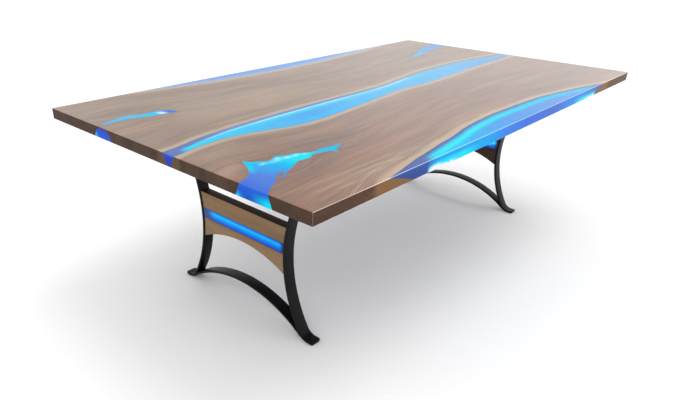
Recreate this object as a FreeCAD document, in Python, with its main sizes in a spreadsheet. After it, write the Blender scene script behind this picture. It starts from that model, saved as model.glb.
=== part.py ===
import FreeCAD, Part
import math
import os
import Sketcher

V = FreeCAD.Vector
doc = FreeCAD.newDocument("river_table")

# ---------------------------------------------------------------- dimensions
# Driving dimensions in millimetres. Frame: origin on the floor under the
# middle of the top, X along the length, Y across, Z up.
DIMS = [
    ("top_length", 2420.0), ("top_width", 1335.0), ("top_height", 762.0),
    ("top_thick", 40.0),
    ("leg_x", 838.0), ("bar_width", 50.0), ("bar_thick", 10.0),
    ("bend_radius", 540.0), ("waist_half", 236.5), ("waist_height", 320.0),
    ("toe_radius", 45.0), ("toe_half", 383.0), ("toe_corner", 9.0),
    ("pad_thick", 2.0), ("pad_width", 38.0), ("pad_depth", 21.0),
    ("arch_radius", 542.0), ("arch_rise", 118.0),
    ("plate_width", 42.0), ("plate_length", 850.0), ("plate_thick", 6.0),
    ("panel_thick", 42.0), ("panel_top", 447.0), ("band_top", 379.0),
    ("band_low", 336.0), ("panel_low", 250.0),
    ("apron_radius", 508.0), ("apron_rise", 304.0),
    ("strip_width", 10.0), ("strip_deep", 8.0),
    ("panel_strip_half", 205.0), ("panel_strip_mid", 357.0),
    ("lead_width", 5.0), ("lead_thick", 3.0),
    ("bolt_dia", 8.0), ("bolt_head_dia", 14.0), ("bolt_head_high", 5.0),
    ("bolt_reach", 20.0), ("insert_dia", 12.0), ("insert_deep", 18.0),
    ("washer_dia", 20.0), ("washer_thick", 1.6),
    ("stud_dia", 8.0), ("stud_reach", 26.0),
    ("case_length", 220.0), ("case_width", 90.0), ("case_high", 32.0),
    ("case_wall", 2.5), ("case_y", -285.0), ("lid_thick", 3.0),
    ("ear_length", 18.0), ("ear_thick", 4.0),
    ("board_length", 188.0), ("board_width", 62.0), ("board_thick", 1.6),
    ("lid_screw_dia", 3.0), ("lid_screw_head", 5.6), ("lid_screw_long", 12.0),
    ("case_screw_dia", 4.0), ("case_screw_head", 7.6), ("case_screw_long", 18.0),
    ("rocker_x", 70.0), ("rocker_length", 18.0), ("rocker_width", 10.0),
    ("pivot_dia", 2.4), ("rocker_tilt", -8.0), ("inlet_dia", 11.0), ("inlet_bore", 5.6),
]
sheet = doc.addObject("Spreadsheet::Sheet", "Sizes")
D = {}
for row, (alias, value) in enumerate(DIMS, start=1):
    sheet.set("A%d" % row, alias)
    sheet.set("B%d" % row, str(value))
    sheet.setAlias("B%d" % row, alias)
    D[alias] = value
doc.recompute()

X = "Sizes."            # prefix of the cells in expressions
nodes = []              # (label, object) of each sub-part that is written


def bind(obj, **exprs):
    for prop, expr in exprs.items():
        obj.setExpression(prop.replace("__", "."), expr)
    return obj


def node(label, obj):
    obj.Label = label
    nodes.append((label, obj))
    return obj


def box(name, lx, ly, lz, px, py, pz):
    """A box from expressions; (px, py, pz) is the middle of its lower face."""
    o = doc.addObject("Part::Box", name)
    bind(o, Length=lx, Width=ly, Height=lz)
    bind(o, Placement__Base__x="(%s) - (%s)/2" % (px, lx),
         Placement__Base__y="(%s) - (%s)/2" % (py, ly), Placement__Base__z=pz)
    return o


def cylinder(name, dia, length, px, py, pz, axis="z"):
    """A cylinder from expressions, starting at (px, py, pz), along +axis."""
    o = doc.addObject("Part::Cylinder", name)
    turn = {"z": FreeCAD.Rotation(), "x": FreeCAD.Rotation(V(0, 1, 0), 90),
            "y": FreeCAD.Rotation(V(1, 0, 0), -90)}[axis]
    o.Placement = FreeCAD.Placement(V(0, 0, 0), turn)
    bind(o, Radius="(%s)/2" % dia, Height=length)
    bind(o, Placement__Base__x=px, Placement__Base__y=py, Placement__Base__z=pz)
    return o


def cut(name, base, *tools):
    for i, tool in enumerate(tools):
        o = doc.addObject("Part::Cut", "%s_%d" % (name, i))
        o.Base, o.Tool = base, tool
        base = o
    return base


def common(name, base, tool):
    o = doc.addObject("Part::Common", name)
    o.Base, o.Tool = base, tool
    return o


def group(name, items):
    o = doc.addObject("Part::Compound", name)
    o.Links = items
    return o


def feature(name, shape):
    o = doc.addObject("Part::Feature", name)
    o.Shape = shape
    return o


def pad(name, segments, length, plane="YZ_Plane", offset=None, mid=True):
    """A body padded from one closed sketch of lines and three-point arcs."""
    body = doc.addObject("PartDesign::Body", name)
    sk = body.newObject("Sketcher::SketchObject", name + "_sketch")
    org = [f for f in body.Origin.OriginFeatures if f.Role == plane][0]
    sk.AttachmentSupport = (org, [""])
    sk.MapMode = "FlatFace"
    for seg in segments:
        if seg[0] == "L":
            sk.addGeometry(Part.LineSegment(V(*seg[1], 0), V(*seg[2], 0)), False)
        else:
            sk.addGeometry(Part.Arc(V(*seg[1], 0), V(*seg[2], 0), V(*seg[3], 0)), False)
    n = len(segments)
    doc.recompute()
    # neighbours in the outline share their end points
    for i in range(n):
        j = (i + 1) % n
        best = None
        for a in (1, 2):
            for b in (1, 2):
                d = sk.getPoint(i, a).distanceToPoint(sk.getPoint(j, b))
                if best is None or d < best[0]:
                    best = (d, a, b)
        sk.addConstraint(Sketcher.Constraint("Coincident", i, best[1], j, best[2]))
    for i in range(n):
        sk.addConstraint(Sketcher.Constraint("Block", i))
    p = body.newObject("PartDesign::Pad", name + "_pad")
    p.Profile = sk
    p.Midplane = mid
    p.setExpression("Length", length)
    doc.recompute()
    return body, p


# ------------------------------------------------------------- the table top
L, W, H, T = D["top_length"], D["top_width"], D["top_height"], D["top_thick"]
UND = H - T

# Live edges in plan, (x, y) on the upper face.
MID_REAR = [(-1210, -44), (-1130, -30), (-1050, -12), (-970, 0), (-890, 9),
            (-812, 15), (-733, 18), (-574, 22), (-415, 25), (-257, 24),
            (-98, 23), (-19, 25), (60, 31), (140, 41), (219, 53), (298, 63),
            (378, 73), (457, 78), (536, 81), (616, 83), (695, 84), (775, 81),
            (854, 73), (933, 61), (1012, 50), (1092, 39), (1171, 30), (1210, 25)]
MID_FRONT = [(-1210, -103), (-1130, -86), (-1050, -75), (-970, -75), (-890, -84),
             (-812, -106), (-733, -127), (-653, -138), (-574, -139), (-495, -134),
             (-415, -127), (-336, -119), (-257, -111), (-177, -101), (-98, -92),
             (-19, -84), (60, -82), (140, -85), (219, -88), (298, -86),
             (378, -81), (457, -77), (536, -72), (616, -66), (695, -61),
             (775, -59), (854, -56), (933, -52), (1012, -49), (1092, -44),
             (1171, -38), (1210, -36)]
FRONT_EDGE = [(-884, -668), (-812, -654), (-714, -634), (-615, -620), (-516, -605),
              (-417, -593), (-317, -575), (-218, -563), (-119, -557), (-20, -553),
              (79, -556), (179, -558), (278, -564), (377, -571), (476, -587),
              (575, -605), (674, -625), (774, -650), (848, -668)]
REAR_EDGE = [(-808, 668), (-714, 642), (-615, 624), (-516, 610), (-417, 597),
             (-317, 590), (-218, 581), (-119, 577), (-20, 576), (79, 580),
             (179, 583), (278, 590), (377, 599), (476, 609), (575, 619),
             (674, 632), (774, 650), (858, 668)]
# Closed outlines: the eye, the big knot and the far void.
EYE_TOP = [(-1196, 342), (-1176, 354), (-1153, 363), (-1121, 369), (-1092, 377),
           (-1062, 380), (-1038, 372), (-1020, 363), (-995, 358), (-971, 355),
           (-945, 355), (-927, 351), (-904, 335), (-891, 309), (-902, 301),
           (-920, 302), (-944, 310), (-970, 314), (-996, 318), (-1020, 324),
           (-1042, 331), (-1064, 340), (-1086, 344), (-1112, 342), (-1138, 341),
           (-1166, 340), (-1185, 337)]
KNOT_TOP = [(-1210, -397), (-1192, -392), (-1166, -381), (-1143, -364), (-1127, -345),
            (-1113, -324), (-1102, -303), (-1093, -286), (-1087, -273), (-1080, -289),
            (-1068, -303), (-1050, -315), (-1032, -327), (-1010, -322), (-988, -312),
            (-974, -319), (-955, -331), (-932, -332), (-912, -343), (-893, -355),
            (-865, -366), (-838, -361), (-812, -363), (-785, -369), (-755, -371),
            (-737, -374), (-756, -383), (-778, -389), (-794, -397), (-810, -418),
            (-821, -408), (-824, -397), (-850, -391), (-880, -381), (-897, -384),
            (-915, -394), (-940, -394), (-966, -391), (-990, -402), (-1015, -413),
            (-1040, -424), (-1066, -438), (-1090, -454), (-1104, -464), (-1094, -449),
            (-1070, -430), (-1048, -415), (-1070, -419), (-1092, -430), (-1113, -444),
            (-1133, -462), (-1157, -474), (-1182, -488), (-1210, -509)]
FAR_TOP = [(710, 311), (745, 330), (790, 343), (835, 356), (872, 376), (905, 397),
           (938, 418), (975, 427), (1015, 438), (1055, 447), (1100, 457), (1150, 465),
           (1210, 472), (1210, 388), (1150, 384), (1090, 378), (1040, 369), (990, 363),
           (945, 354), (900, 340), (855, 330), (800, 318), (750, 310)]

EDGE_LEAN = 26.0        # run of a live edge over the thickness, wood wider below
END = 70.0              # how far the river solids pass the ends of the top


def stretch(pts):
    """The curve carried past both ends of the top in its end direction."""
    (x0, y0), (x1, y1) = pts[0], pts[1]
    (x2, y2), (x3, y3) = pts[-2], pts[-1]
    a = (x0 - END, y0 - (y1 - y0) / (x1 - x0) * END)
    b = (x3 + END, y3 + (y3 - y2) / (x3 - x2) * END)
    return [a] + list(pts) + [b]


def smooth(pts, step=30.0):
    """Points along a smooth curve through pts, about step apart."""
    c = Part.BSplineCurve()
    c.interpolate([V(x, y, 0) for x, y in pts])
    n = max(2, int(round(c.length() / step)))
    return [(q.x, q.y) for q in c.discretize(n + 1)]


def facet(a, b, c, d):
    """The flat face of four points, or two triangles if they are twisted."""
    nrm = (b - a).cross(c - a)
    if nrm.Length > 1e-9 and abs((d - a).dot(nrm)) / nrm.Length < 1e-6:
        return [Part.Face(Part.makePolygon([a, b, c, d, a]))]
    return [Part.Face(Part.makePolygon([a, b, c, a])),
            Part.Face(Part.makePolygon([a, c, d, a]))]


def loft_levels(levels):
    """A closed solid through outlines of as many points each, from the top down."""
    rings = [[V(x, y, z) for x, y in pts] for pts, z in levels]
    n = len(rings[0])
    faces = []
    for u, w in zip(rings[:-1], rings[1:]):
        for i in range(n):
            j = (i + 1) % n
            faces += facet(u[i], u[j], w[j], w[i])
    for r in (rings[0], rings[-1]):
        faces.append(Part.Face(Part.makePolygon(r + [r[0]])))
    shell = Part.makeShell(faces)
    shell.sewShape()
    solid = Part.makeSolid(shell)
    if solid.Volume < 0:
        solid.reverse()
    return solid


def loft_solid(up, dn, hi, lo):
    """A closed solid between two outlines of as many points each."""
    return loft_levels([(up, hi), (dn, lo)])


def side_solid(curve, lean, far):
    """All that lies between a live edge and the line y = far."""
    hi, lo = H + 10.0, UND - 10.0
    curve = smooth(curve)
    up = [(x, y - lean * 10.0 / T) for x, y in curve]
    dn = [(x, y + lean * (T + 10.0) / T) for x, y in curve]
    a, b = curve[0], curve[-1]
    return loft_solid(up + [(b[0], far), (a[0], far)], dn + [(b[0], far), (a[0], far)], hi, lo)


def void_solid(top, low):
    """A filled void between its outline above and its outline below."""
    up, dn = [], []
    for (xa, ya), (xb, yb) in zip(top, low):
        up.append((xa + (xa - xb) * 10.0 / T, ya + (ya - yb) * 10.0 / T))
        dn.append((xb + (xb - xa) * 10.0 / T, yb + (yb - ya) * 10.0 / T))
    return loft_solid(up, dn, H + 10.0, UND - 10.0)


# wood behind the middle river, wood in front of it, and the edge rivers
behind = feature("wood_behind", side_solid(stretch(MID_REAR), -EDGE_LEAN, 900.0))
ahead = feature("wood_ahead", side_solid(stretch(MID_FRONT), EDGE_LEAN, -900.0))


def carried(pts, step, sign):
    """An edge river's boundary carried out past the long face of the top."""
    a = (pts[0][0] - 260.0, pts[0][1] + sign * 45.0)
    b = (pts[-1][0] + 260.0, pts[-1][1] + sign * 45.0)
    return [a, (pts[0][0] - 120.0, pts[0][1] + sign * 22.0)] + list(pts) + \
        [(pts[-1][0] + 120.0, pts[-1][1] + sign * 24.0), b]


front_tool = feature("front_edge_space",
                     side_solid(carried(FRONT_EDGE, 0, -1), -EDGE_LEAN, -900.0))
rear_tool = feature("rear_edge_space",
                    side_solid(carried(REAR_EDGE, 0, 1), EDGE_LEAN, 900.0))

# the eye is narrow in the upper face; under a thin skin of wood it widens
# toward the near end and breaks through the end face
EYE_WIDE = {(-1196, 342): ((-1226, 305), (-1226, 309)),
            (-1176, 354): ((-1226, 326), (-1226, 358)),
            (-1153, 363): ((-1190, 346), (-1190, 368)),
            (-1121, 369): ((-1140, 366), (-1140, 378)),
            (-1112, 342): ((-1115, 337), (-1112, 318)),
            (-1138, 341): ((-1150, 322), (-1150, 290)),
            (-1166, 340): ((-1190, 293), (-1190, 264)),
            (-1185, 337): ((-1226, 277), (-1226, 252))}
EYE_SKIN = 4.0
eye_mid = [EYE_WIDE.get(p, (p, p))[0] for p in EYE_TOP]
eye_low = [EYE_WIDE.get(p, (p, p))[1] for p in EYE_TOP]
eye_tool = feature("eye_space", loft_levels([
    (EYE_TOP, H + 10.0), (EYE_TOP, H - EYE_SKIN), (eye_mid, H - EYE_SKIN - 2.0),
    (eye_low, UND), (eye_low, UND - 10.0)]))


# the knot void and the far void run out through the end faces
knot_top = [(-1270, -413)] + KNOT_TOP + [(-1270, -553)]
knot_low = []
for x, y in knot_top:
    k = min(1.0, max(0.0, (-1100.0 - x) / 110.0))
    knot_low.append((x, -453.0 + (y + 453.0) * (1.0 + 0.28 * k)))
knot_tool = feature("knot_space", void_solid(knot_top, knot_low))
cutoff = FAR_TOP.index((1210, 472)) + 1
far_top = FAR_TOP[:cutoff] + [(1270, 480), (1270, 392)] + FAR_TOP[cutoff:]
far_tool = feature("far_space", void_solid(far_top, far_top))

block = box("block", X + "top_length", X + "top_width", X + "top_thick",
            "0", "0", X + "top_height - " + X + "top_thick")


# ------------------------------------------------------------- light strips
def ribbon(pts, width, z, thick):
    """A flat strip of constant width along a smooth plan curve."""
    c = Part.BSplineCurve()
    c.interpolate([V(x, y, z) for x, y in pts])
    n = max(4, int(round(c.length() / 30.0)))
    left, right = [], []
    for q in c.discretize(n + 1):
        t = c.tangent(c.parameter(q))[0]
        nrm = V(-t.y, t.x, 0).normalize()
        left.append(q + nrm * (width / 2.0))
        right.append(q - nrm * (width / 2.0))
    ring = left + right[::-1]
    return Part.Face(Part.makePolygon(ring + [ring[0]])).extrude(V(0, 0, thick))


SW, SD = D["strip_width"], D["strip_deep"]
mid_strip = node("light_strip_middle", feature("light_strip_middle", ribbon(
    [(-860, -40), (-730, -52), (-574, -58), (-336, -46), (-98, -34), (60, -25),
     (219, -16), (378, -4), (536, 4), (695, 11), (854, 8), (1000, 1)], SW, UND, SD)))
knot_strip = node("light_strip_knot", feature("light_strip_knot", ribbon(
    [(-1180, -448), (-1100, -400), (-1030, -372), (-950, -362), (-880, -373),
     (-830, -376), (-780, -379)], SW, UND, SD)))
front_strip = node("light_strip_front_edge", box(
    "light_strip_front_edge", "1160", X + "strip_width", X + "strip_deep",
    "20", "-" + X + "top_width/2 + 20", X + "top_height - " + X + "top_thick"))
rear_strip = node("light_strip_rear_edge", box(
    "light_strip_rear_edge", "980", X + "strip_width", X + "strip_deep",
    "40", X + "top_width/2 - 20", X + "top_height - " + X + "top_thick"))
eye_strip = node("light_strip_eye", feature("light_strip_eye", ribbon(
    [(-1180, 312), (-1130, 338), (-1092, 356), (-1062, 358), (-1020, 343), (-970, 334),
     (-930, 328), (-880, 325), (-780, 326)], SW, UND, SD)))
far_strip = node("light_strip_far", feature("light_strip_far", ribbon(
    [(796, 331), (900, 367), (1000, 396), (1100, 414), (1180, 426)], SW, UND, SD)))

# ------------------------------------------- slabs and resin cut from the block
BOLT_Y = [-290.0, -170.0, 170.0, 280.0]
LEGS = (("near", -1.0), ("far", 1.0))

bores_rear, bores_front = [], []
inserts, bolts, washers = [], [], []
for tag, s in LEGS:
    lx = "%g * %sleg_x" % (s, X)
    for i, y in enumerate(BOLT_Y):
        base = "%s_%d" % (tag, i)
        py = "%g" % y
        und = "%stop_height - %stop_thick" % (X, X)
        low = und + " - %splate_thick - %swasher_thick" % (X, X)
        seat = cylinder("insert_bore_" + base, X + "insert_dia", X + "insert_deep", lx, py, und)
        (bores_rear if y > 0 else bores_front).append(seat)
        sleeve = cylinder("insert_out_" + base, X + "insert_dia", X + "insert_deep", lx, py, und)
        hole = cylinder("insert_in_" + base, X + "bolt_dia", X + "insert_deep", lx, py, und)
        inserts.append(cut("insert_" + base, sleeve, hole))
        shank = cylinder("bolt_shank_" + base, X + "bolt_dia",
                         X + "plate_thick + " + X + "washer_thick + " + X + "insert_deep",
                         lx, py, low)
        head = cylinder("bolt_head_" + base, X + "bolt_head_dia", X + "bolt_head_high",
                        lx, py, low + " - %sbolt_head_high" % X)
        f = doc.addObject("Part::Fuse", "bolt_" + base)
        f.Base, f.Tool = shank, head
        bolts.append(f)
        ring = cylinder("washer_out_" + base, X + "washer_dia", X + "washer_thick", lx, py, low)
        bore = cylinder("washer_in_" + base, X + "bolt_dia", X + "washer_thick", lx, py, low)
        washers.append(cut("washer_" + base, ring, bore))

slab_rear = common("slab_rear_whole", block, behind)
slab_rear = node("slab_rear", cut("slab_rear", slab_rear, rear_tool, eye_tool, far_tool,
                                  eye_strip, *bores_rear))
slab_front = common("slab_front_whole", block, ahead)
slab_front = node("slab_front", cut("slab_front", slab_front, front_tool, knot_tool,
                                    *bores_front))
node("river_middle", cut("river_middle", block, behind, ahead, mid_strip))
node("river_front_edge", cut("river_front_edge", common("river_front_whole", block, front_tool),
                             front_strip))
node("river_rear_edge", cut("river_rear_edge", common("river_rear_whole", block, rear_tool),
                            rear_strip))
node("knot_fill", cut("knot_fill", common("knot_whole", block, knot_tool), knot_strip))
node("eye_fill", cut("eye_fill", common("eye_whole", block, eye_tool), eye_strip))
node("far_void_fill", cut("far_void_fill", common("far_whole", block, far_tool), far_strip))

# ---------------------------------------------------------------- leg frames
R, TH = D["bend_radius"], D["bar_thick"]
CY, CZ = D["waist_half"] + R, D["waist_height"]
RT, PT = D["toe_radius"], D["pad_thick"]
TOP = UND - D["plate_thick"]
TOE = D["toe_half"]
# angle at which the long bend hands over to the short toe bend
s1 = (CZ - RT - TH - PT) / (R - RT)
a1 = math.asin(s1)


def on_bend(r, ang):
    return (CY - r * math.cos(ang), CZ - r * math.sin(ang))


top_o = -math.asin((TOP - CZ) / R)
top_i = -math.asin((TOP - CZ) / (R + TH))
p_top_o, p_top_i = on_bend(R, top_o), on_bend(R + TH, top_i)
p1, p2 = on_bend(R, a1), on_bend(R + TH, a1)
tc = (CY - (R - RT) * math.cos(a1), CZ - (R - RT) * s1)
am = (a1 + math.pi / 2) / 2


def on_toe(r, ang):
    return (tc[0] - r * math.cos(ang), tc[1] - r * math.sin(ang))


upright = [
    ("A", p_top_o, on_bend(R, (top_o + a1) / 2), p1),
    ("A", p1, on_toe(RT, am), on_toe(RT, math.pi / 2)),
    ("L", on_toe(RT, math.pi / 2), (TOE, PT + TH)),
    ("L", (TOE, PT + TH), (TOE, PT)),
    ("L", (TOE, PT), on_toe(RT + TH, math.pi / 2)),
    ("A", on_toe(RT + TH, math.pi / 2), on_toe(RT + TH, am), p2),
    ("A", p2, on_bend(R + TH, (top_i + a1) / 2), p_top_i),
    ("L", p_top_i, p_top_o),
]


def mirrored(segs):
    return [(g[0],) + tuple((-p[0], p[1]) for p in g[1:]) for g in segs]


def toe_fillet(body, name):
    """Round the two outer corners of a toe in plan."""
    shape = body.Tip.Shape
    names = []
    for i, e in enumerate(shape.Edges, start=1):
        b = e.BoundBox
        if b.ZLength > TH - 0.5 and b.ZLength < TH + 0.5 and b.XLength < 0.01 \
                and b.YLength < 0.01 and abs(abs(b.YMin) - TOE) < 0.01:
            names.append("Edge%d" % i)
    base = body.Tip
    f = body.newObject("PartDesign::Fillet", name + "_corners")
    f.Base = (base, names)
    body.Tip = f
    f.setExpression("Radius", X + "toe_corner")
    doc.recompute()


pads, studs = [], []
for tag, s in LEGS:
    lx = "%g * %sleg_x" % (s, X)
    for side, segs, sy in (("left", upright, 1.0), ("right", mirrored(upright), -1.0)):
        name = "upright_%s_%s" % (tag, side)
        body, p = pad(name, segs, X + "bar_width")
        body.Tip = p
        toe_fillet(body, name)
        bind(body, Placement__Base__x=lx)
        node(name, body)
        pads.append(box("pad_%s_%s" % (tag, side), X + "pad_width", X + "pad_depth",
                        X + "pad_thick", lx,
                        "%g * (%stoe_half - 2.5 - %spad_depth/2)" % (sy, X, X), "0"))
    # inner faces of the two uprights, as round tools along X
    tools = []
    for sy in (1.0, -1.0):
        tools.append(lambda nm, sy=sy: cylinder(
            nm, "2*(%sbend_radius + %sbar_thick)" % (X, X), "300", lx + " - 150",
            "%g * (%swaist_half + %sbend_radius)" % (sy, X, X), X + "waist_height", "x"))

    def between(name, base):
        return cut(name, base, tools[0](name + "_face_l"), tools[1](name + "_face_r"))

    # arched stretcher: a ring sector, its ends shaped to the uprights
    ring = cut("arch_ring_" + tag,
               cylinder("arch_out_" + tag, "2*(%sarch_radius + %sbar_thick)" % (X, X),
                        X + "bar_width", lx + " - %sbar_width/2" % X, "0",
                        "%sarch_rise - %sarch_radius" % (X, X), "x"),
               cylinder("arch_in_" + tag, "2*%sarch_radius" % X, X + "bar_width",
                        lx + " - %sbar_width/2" % X, "0",
                        "%sarch_rise - %sarch_radius" % (X, X), "x"))
    sector = common("arch_sector_" + tag, ring,
                    box("arch_clip_" + tag, "100", "680", "400", lx, "0", "0"))
    node("stretcher_" + tag, between("stretcher_" + tag, sector))
    # mounting plate with its bolt holes
    plate = box("plate_" + tag, X + "plate_width", X + "plate_length", X + "plate_thick",
                lx, "0", "%stop_height - %stop_thick - %splate_thick" % (X, X, X))
    holes = [cylinder("plate_hole_%s_%d" % (tag, i), X + "bolt_dia", X + "plate_thick",
                      lx, "%g" % y, "%stop_height - %stop_thick - %splate_thick" % (X, X, X))
             for i, y in enumerate(BOLT_Y)]
    node("mounting_plate_" + tag, cut("mounting_plate_" + tag, plate, *holes))
    # studs that carry the panel, welded to the inner faces
    for j, (zexpr, zval) in enumerate((("(%spanel_top + %sband_top)/2" % (X, X),
                                        (D["panel_top"] + D["band_top"]) / 2),
                                       ("%sband_low - 22" % X, D["band_low"] - 22.0))):
        inner = CY - math.sqrt((R + TH) ** 2 - (zval - CZ) ** 2)
        for sy in (1.0, -1.0):
            y0 = sy * (inner + 3.0) - (D["stud_reach"] + 3.0 if sy > 0 else 0.0)
            nm = "stud_%s_%d_%s" % (tag, j, "l" if sy > 0 else "r")
            rod = cylinder(nm + "_rod", X + "stud_dia", X + "stud_reach + 3", lx,
                           "%.3f" % y0, zexpr, "y")
            studs.append((tag, j, sy, cut(nm, rod, tools[0 if sy > 0 else 1](nm + "_face"))))
    mine = {j: [q[3] for q in studs if q[0] == tag and q[1] == j] for j in (0, 1)}
    # panel: rail, resin bar, arched apron
    rail = box("rail_" + tag, X + "panel_thick", "620",
               "%spanel_top - %sband_top" % (X, X), lx, "0", X + "band_top")
    node("panel_rail_" + tag, cut("panel_rail_" + tag, between("rail_fit_" + tag, rail), *mine[0]))
    strip = box("panel_strip_" + tag, X + "strip_deep", "2*%spanel_strip_half" % X,
                X + "strip_width",
                "%s + %g * (%spanel_thick/2 - %sstrip_deep/2)" % (lx, -s, X, X), "0",
                "%spanel_strip_mid - %sstrip_width/2" % (X, X))
    bar = box("band_" + tag, X + "panel_thick", "620",
              "%sband_top - %sband_low" % (X, X), lx, "0", X + "band_low")
    node("panel_resin_" + tag, cut("panel_resin_" + tag, between("band_fit_" + tag, bar), strip))
    node("panel_light_" + tag, strip)
    apron = box("apron_" + tag, X + "panel_thick", "620",
                "%sband_low - %spanel_low" % (X, X), lx, "0", X + "panel_low")
    arch = cylinder("apron_arch_" + tag, "2*%sapron_radius" % X, "300", lx + " - 150",
                    "0", "%sapron_rise - %sapron_radius" % (X, X), "x")
    node("panel_apron_" + tag, cut("panel_apron_" + tag, between("apron_fit_" + tag, apron),
                                   arch, *mine[1]))

node("foot_pads", group("foot_pads", pads))
node("panel_studs", group("panel_studs", [q[3] for q in studs]))
node("plate_bolts", group("plate_bolts", bolts))
node("plate_washers", group("plate_washers", washers))
node("threaded_inserts", group("threaded_inserts", inserts))

# --------------------------------------------------------------- light driver
cl, cw, ch, wl = D["case_length"], D["case_width"], D["case_high"], D["case_wall"]
cyy = X + "case_y"
und = "%stop_height - %stop_thick" % (X, X)
low = und + " - %scase_high" % X
lid_z = low + " - %slid_thick" % X

shell = box("case_out", X + "case_length", X + "case_width", X + "case_high", "0", cyy, low)
hollow = box("case_in", "%scase_length - 2*%scase_wall" % (X, X),
             "%scase_width - 2*%scase_wall" % (X, X), "%scase_high - %scase_wall" % (X, X),
             "0", cyy, low)
ears = box("case_ears", "%scase_length + 2*%sear_length" % (X, X), "30", X + "ear_thick",
           "0", cyy, und + " - %sear_thick" % X)
whole = doc.addObject("Part::Fuse", "case_with_ears")
whole.Base, whole.Tool = shell, ears
case = cut("case_hollow", whole, hollow)
# corner posts that take the lid screws
post_tools, lid_holes, lid_screws = [], [], []
for i, (sx, sy) in enumerate(((1, 1), (1, -1), (-1, 1), (-1, -1))):
    px = "%d * (%scase_length/2 - 7)" % (sx, X)
    py = "%s + %d * (%scase_width/2 - 7)" % (cyy, sy, X)
    post = cylinder("case_post_%d" % i, "8", "%scase_high - %scase_wall" % (X, X), px, py, low)
    f = doc.addObject("Part::Fuse", "case_posted_%d" % i)
    f.Base, f.Tool = case, post
    case = f
    post_tools.append(cylinder("post_hole_%d" % i, X + "lid_screw_dia",
                               "%slid_screw_long - %slid_thick" % (X, X), px, py, low))
    lid_holes.append(cylinder("lid_hole_%d" % i, X + "lid_screw_dia", X + "lid_thick", px, py, lid_z))
    sh = cylinder("lid_screw_shank_%d" % i, X + "lid_screw_dia", X + "lid_screw_long", px, py, lid_z)
    hd = cylinder("lid_screw_head_%d" % i, X + "lid_screw_head", "2", px, py, lid_z + " - 2")
    f = doc.addObject("Part::Fuse", "lid_screw_%d" % i)
    f.Base, f.Tool = sh, hd
    lid_screws.append(f)
# two screws through the ears into the slab
ear_holes, slab_holes, case_screws = [], [], []
for i, sx in enumerate((1, -1)):
    px = "%d * (%scase_length/2 + %sear_length/2)" % (sx, X, X)
    ez = und + " - %sear_thick" % X
    ear_holes.append(cylinder("ear_hole_%d" % i, X + "case_screw_dia", X + "ear_thick", px, cyy, ez))
    slab_holes.append(cylinder("slab_hole_%d" % i, X + "case_screw_dia",
                               "%scase_screw_long - %sear_thick" % (X, X), px, cyy, und))
    sh = cylinder("case_screw_shank_%d" % i, X + "case_screw_dia", X + "case_screw_long", px, cyy, ez)
    hd = cylinder("case_screw_head_%d" % i, X + "case_screw_head", "2.6", px, cyy, ez + " - 2.6")
    f = doc.addObject("Part::Fuse", "case_screw_%d" % i)
    f.Base, f.Tool = sh, hd
    case_screws.append(f)
# low-voltage inlet in the far end wall: body, flange outside, bore for a round plug
inlet_x = "%scase_length/2" % X
inlet_z = low + " + 14"
wall_hole = cylinder("inlet_wall_hole", X + "inlet_dia", X + "case_wall",
                     inlet_x + " - %scase_wall" % X, cyy + " + 26", inlet_z, "x")
barrel = cylinder("inlet_barrel", X + "inlet_dia", "14", inlet_x + " - 14",
                  cyy + " + 26", inlet_z, "x")
flange = cylinder("inlet_flange", "15", "2", inlet_x, cyy + " + 26", inlet_z, "x")
f = doc.addObject("Part::Fuse", "inlet_whole")
f.Base, f.Tool = barrel, flange
inlet_bore = cylinder("inlet_bore_tool", X + "inlet_bore", "12", inlet_x + " - 10",
                      cyy + " + 26", inlet_z, "x")
node("power_inlet", cut("power_inlet", f, inlet_bore))
node("driver_case", cut("driver_case", case, wall_hole, *(post_tools + ear_holes)))
# board on the roof of the case, on two standing blocks
board = box("board_plate", X + "board_length", X + "board_width", X + "board_thick", "0", cyy,
            und + " - %scase_wall - 4 - %sboard_thick" % (X, X))
b1 = box("board_block_a", "46", "30", "12", "-50", cyy,
         und + " - %scase_wall - 16 - %sboard_thick" % (X, X))
b2 = box("board_block_b", "16", "44", "9", "-4", cyy,
         und + " - %scase_wall - 13 - %sboard_thick" % (X, X))
b3 = box("board_spacer", "10", "40", "4", "-80", cyy, und + " - %scase_wall - 4" % X)
b4 = box("board_spacer_b", "10", "40", "4", "80", cyy, und + " - %scase_wall - 4" % X)
acc = board
for i, b in enumerate((b1, b2, b3, b4)):
    f = doc.addObject("Part::Fuse", "board_%d" % i)
    f.Base, f.Tool = acc, b
    acc = f
node("driver_board", acc)
# rocker: a curved paddle on two stub pivots, held by a bezel set in the lid
rx = X + "rocker_x"
bez_out = box("bezel_body", "%srocker_length + 5" % X, "%srocker_width + 5.6" % X, "9",
              rx, cyy, lid_z)
bez_rim = box("bezel_rim", "%srocker_length + 9" % X, "%srocker_width + 9" % X, "1.5",
              rx, cyy, lid_z + " - 1.5")
f = doc.addObject("Part::Fuse", "bezel_whole")
f.Base, f.Tool = bez_out, bez_rim
bez_hole = box("bezel_opening", "%srocker_length + 1.4" % X, "%srocker_width + 0.8" % X,
               "20", rx, cyy, lid_z + " - 5")
pivot_z = lid_z + " + 3"
bez_pivot = cylinder("bezel_pivot_hole", "%spivot_dia + 0.1" % X, "%srocker_width + 5.6" % X,
                     rx, cyy + " - %srocker_width/2 - 2.8" % X, pivot_z, "y")
node("rocker_bezel", cut("rocker_bezel", f, bez_hole, bez_pivot))
lid = box("lid_plate", X + "case_length", X + "case_width", X + "lid_thick", "0", cyy, lid_z)
lid_open = box("lid_opening", "%srocker_length + 5" % X, "%srocker_width + 5.6" % X,
               X + "lid_thick", rx, cyy, lid_z)
node("driver_lid", cut("driver_lid", lid, lid_open, *lid_holes))
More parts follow.
